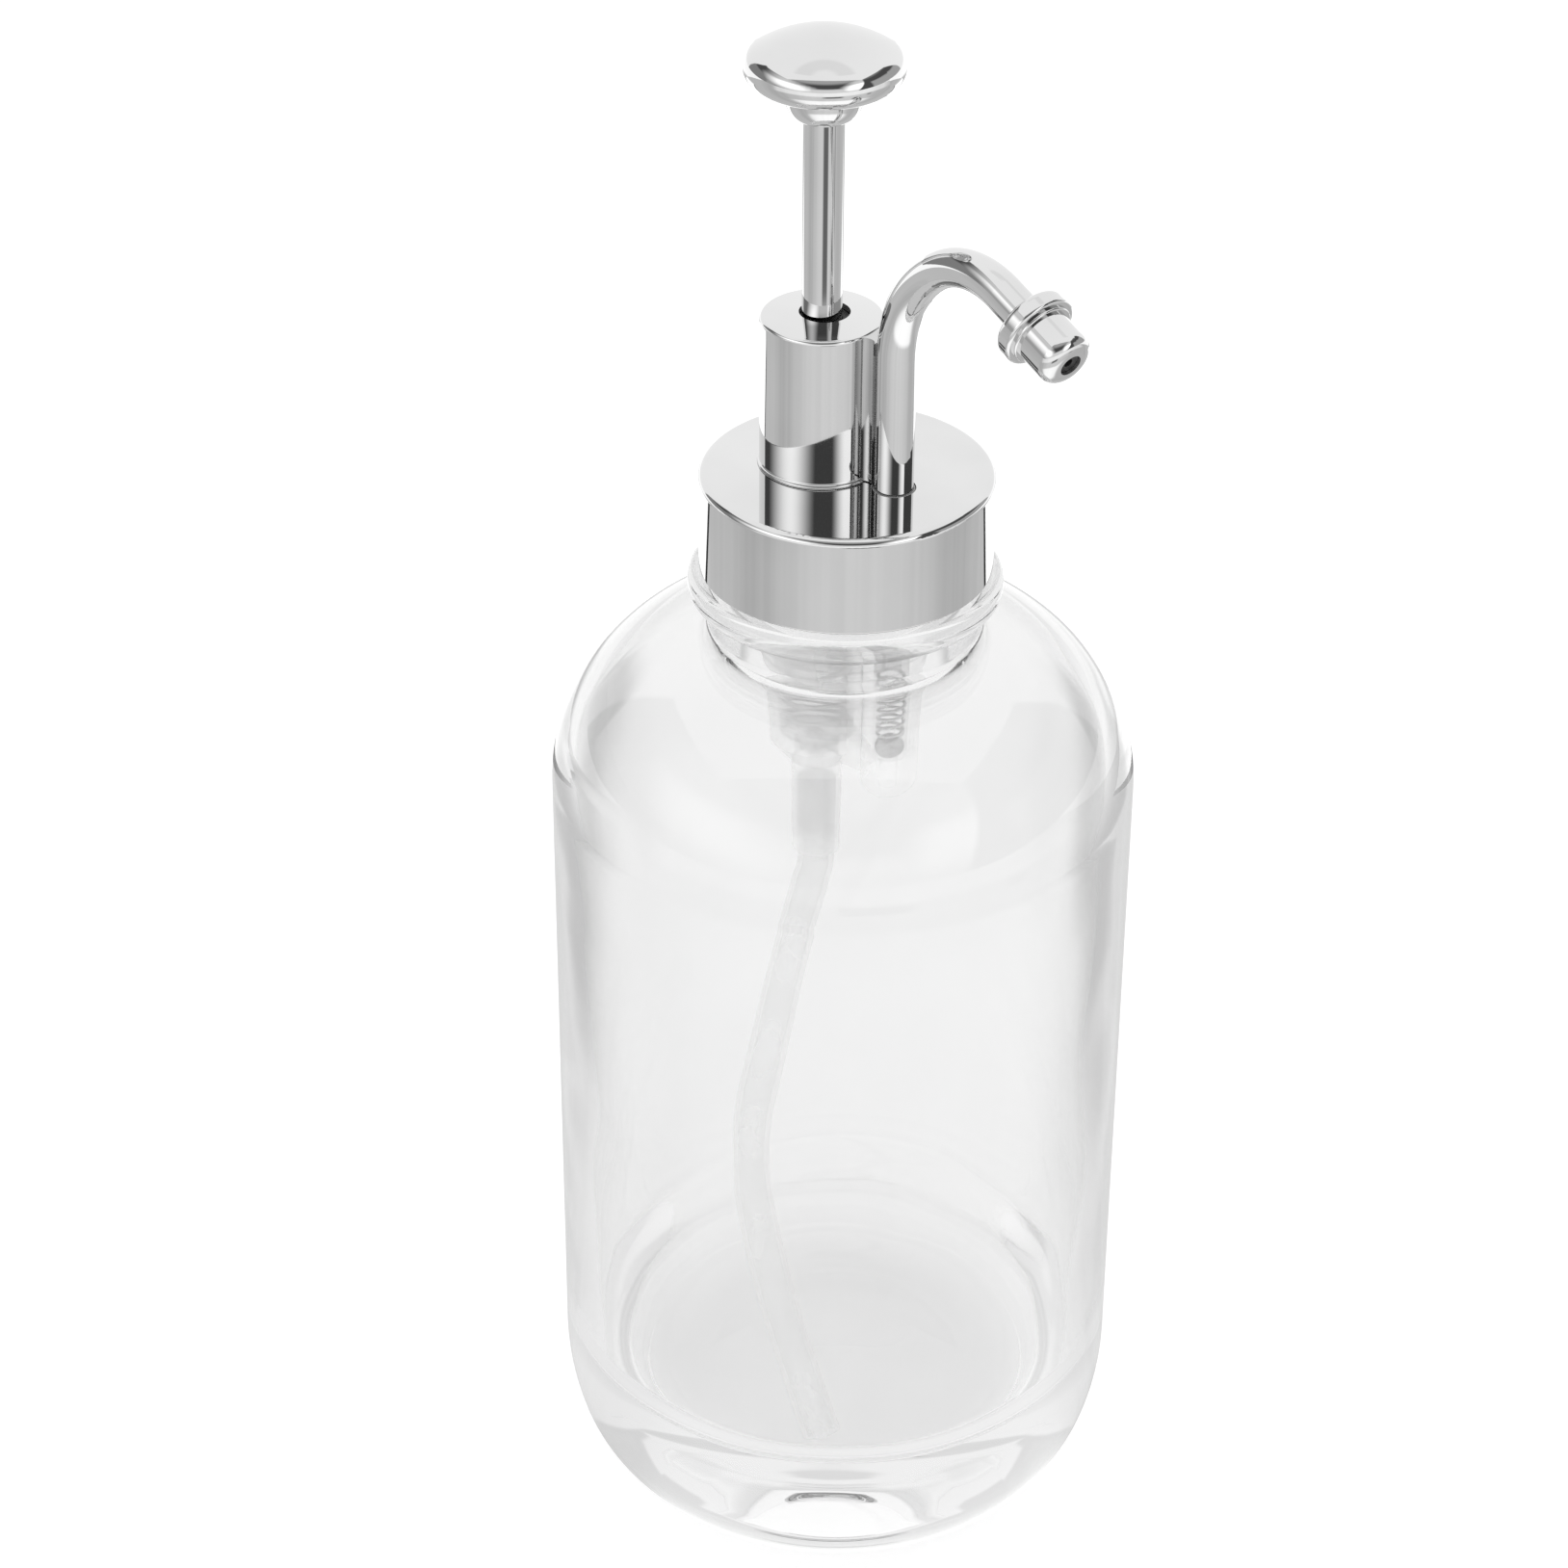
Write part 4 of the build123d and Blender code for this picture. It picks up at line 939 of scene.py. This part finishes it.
# %% Glass
LAMPLIGHT_KEPT = 0.99
EDGE_SHADE, SLANT_FROM, SLANT_FULL = 0.82, 0.52, 0.74
CLEAR_BELOW, SHADED_ABOVE = 0.030, 0.048
ECHOES = 2


def lets_lamps_through(tree, shader, kept, echoes=9):
    """Gives way to a clear shader for shadow rays, and after many reflections within the wall."""
    clear = tree.nodes.new("ShaderNodeBsdfTransparent")
    clear.inputs["Color"].default_value = grey(kept)
    rays = tree.nodes.new("ShaderNodeLightPath")
    either = tree.nodes.new("ShaderNodeMixShader")
    tired = sum_of(tree, "GREATER_THAN", rays.outputs["Glossy Depth"], echoes + 0.5)
    tree.links.new(sum_of(tree, "MAXIMUM", rays.outputs["Is Shadow Ray"], tired), either.inputs["Fac"])
    tree.links.new(shader.outputs["BSDF"], either.inputs[1])
    tree.links.new(clear.outputs["BSDF"], either.inputs[2])
    tree.links.new(either.outputs["Shader"], tree.nodes["Material Output"].inputs["Surface"])


glass, tree, shader = start_material("clear glass")
shader.inputs["Transmission Weight"].default_value = 1.0
shader.inputs["IOR"].default_value = 1.5
shader.inputs["Roughness"].default_value = 0.0
tint = use_group(tree, colour_drift, shader.inputs["Base Color"],
                 Scale=25.0, One=grey(0.945), Other=grey(0.965))
use_group(tree, unevenness, shader.inputs["Normal"], Scale=42.0, Depth=0.00003)
# Painted shade: the glass's colour darkens where the wall is seen at a slant.
slant = add_node(tree, "ShaderNodeLayerWeight", Blend=0.5)
place = tree.nodes.new("ShaderNodeTexCoord").outputs["Object"]
above_floor = ramp(tree, share_along(tree, place, UP), CLEAR_BELOW, SHADED_ABOVE)
slanting = sum_of(tree, "MULTIPLY", above_floor,
                  ramp(tree, slant.outputs["Facing"], SLANT_FROM, SLANT_FULL))
edge_shading = sum_of(tree, "SUBTRACT", 1.0, sum_of(tree, "MULTIPLY", slanting, 1 - EDGE_SHADE))
shade = tree.nodes.new("ShaderNodeMix")
shade.data_type = "RGBA"
shade.blend_type = "MULTIPLY"
shade.inputs["Factor"].default_value = 1.0
tree.links.new(tint.outputs[0], shade.inputs[6])
tree.links.new(edge_shading, shade.inputs[7])
tree.links.new(shade.outputs[2], shader.inputs["Base Color"])
lets_lamps_through(tree, shader, LAMPLIGHT_KEPT, ECHOES)
finish_node(glass, "glass_bottle")

# %% [markdown]
# ## Plastics, rubber and steel
# The pump's body is natural polypropylene, which is milky, and its tube is a clearer extrusion.
# Both could be given glass's transmission, but that costs many more bounces for each ray, so
# they are partly see-through instead.  The liner in the cap is white.  Rubber is matt: black round
# the rod and in the outlet, and paler where it seals the cap.  The springs are drawn wire.

# %% Milky plastics
THICK_TO, THIN_FROM = 0.003, 0.006


def milky_plastic(name, body, haze, low, high, depth):
    """Plastic that partly shows what is behind it, and scatters the rest of the light.

    Its body is thick on the turret's side and thinner on the spout's, round the valve.
    """
    material, tree, shader = start_material(name)
    thick, thin = body
    place = tree.nodes.new("ShaderNodeTexCoord").outputs["Object"]
    to_the_spout = share_along(tree, place, (1, 0, 0))
    tree.links.new(ramp(tree, to_the_spout, THICK_TO, THIN_FROM, thick, thin), shader.inputs["Alpha"])
    shader.inputs["IOR"].default_value = 1.49
    use_group(tree, colour_drift, shader.inputs["Base Color"],
              Scale=90.0, One=grey(low), Other=grey(high))
    use_group(tree, value_drift, shader.inputs["Roughness"],
              Scale=160.0, Low=haze * 0.8, High=haze * 1.2)
    use_group(tree, unevenness, shader.inputs["Normal"], Scale=140.0, Depth=depth)
    lets_lamps_through(tree, shader, 1.0)
    return material


natural_plastic = milky_plastic("natural polypropylene", (0.30, 0.20), 0.30, 0.96, 0.99, 0.00001)
tube_plastic = milky_plastic("milky tube", (0.30, 0.30), 0.22, 0.78, 0.84, 0.00001)
finish_node(natural_plastic, "pump_body", "tube_adapter", "intake_cage", "spring_sleeve", "piston",
            "piston_seal")
finish_node(tube_plastic, "dip_tube")


# %% Opaque plastics, rubber and steel
def plain_finish(name, metallic, dark, light, low, high, scale, depth):
    """A finish with a drift of colour and gloss, and a fine unevenness."""
    material, tree, shader = start_material(name)
    shader.inputs["Metallic"].default_value = metallic
    use_group(tree, colour_drift, shader.inputs["Base Color"],
              Scale=scale, One=grey(dark), Other=grey(light))
    use_group(tree, value_drift, shader.inputs["Roughness"], Scale=scale * 2, Low=low, High=high)
    use_group(tree, unevenness, shader.inputs["Normal"], Scale=scale * 3, Depth=depth)
    return material


white_plastic = plain_finish("white liner", 0.0, 0.82, 0.88, 0.30, 0.42, 90.0, 0.00003)
guide_plastic = plain_finish("white acetal", 0.0, 0.88, 0.92, 0.28, 0.36, 120.0, 0.00002)
black_rubber = plain_finish("black rubber", 0.0, 0.014, 0.026, 0.42, 0.60, 300.0, 0.00003)
grey_rubber = plain_finish("grey rubber", 0.0, 0.30, 0.38, 0.42, 0.60, 300.0, 0.00003)
pale_rubber = plain_finish("pale rubber", 0.0, 0.80, 0.86, 0.45, 0.60, 200.0, 0.00003)
spring_steel = plain_finish("drawn steel wire", 1.0, 0.64, 0.72, 0.16, 0.30, 400.0, 0.00001)
ball_steel = plain_finish("ground steel", 1.0, 0.50, 0.58, 0.06, 0.12, 300.0, 0.000004)
finish_node(white_plastic, "cap_liner")
finish_node(guide_plastic, "rod_guide")
finish_node(black_rubber, "rod_wiper", "nozzle_valve")
finish_node(grey_rubber, "spout_lip")
finish_node(pale_rubber, "neck_gasket")
finish_node(spring_steel, "return_coil", "valve_coil")
finish_node(ball_steel, "intake_ball", "outlet_ball")
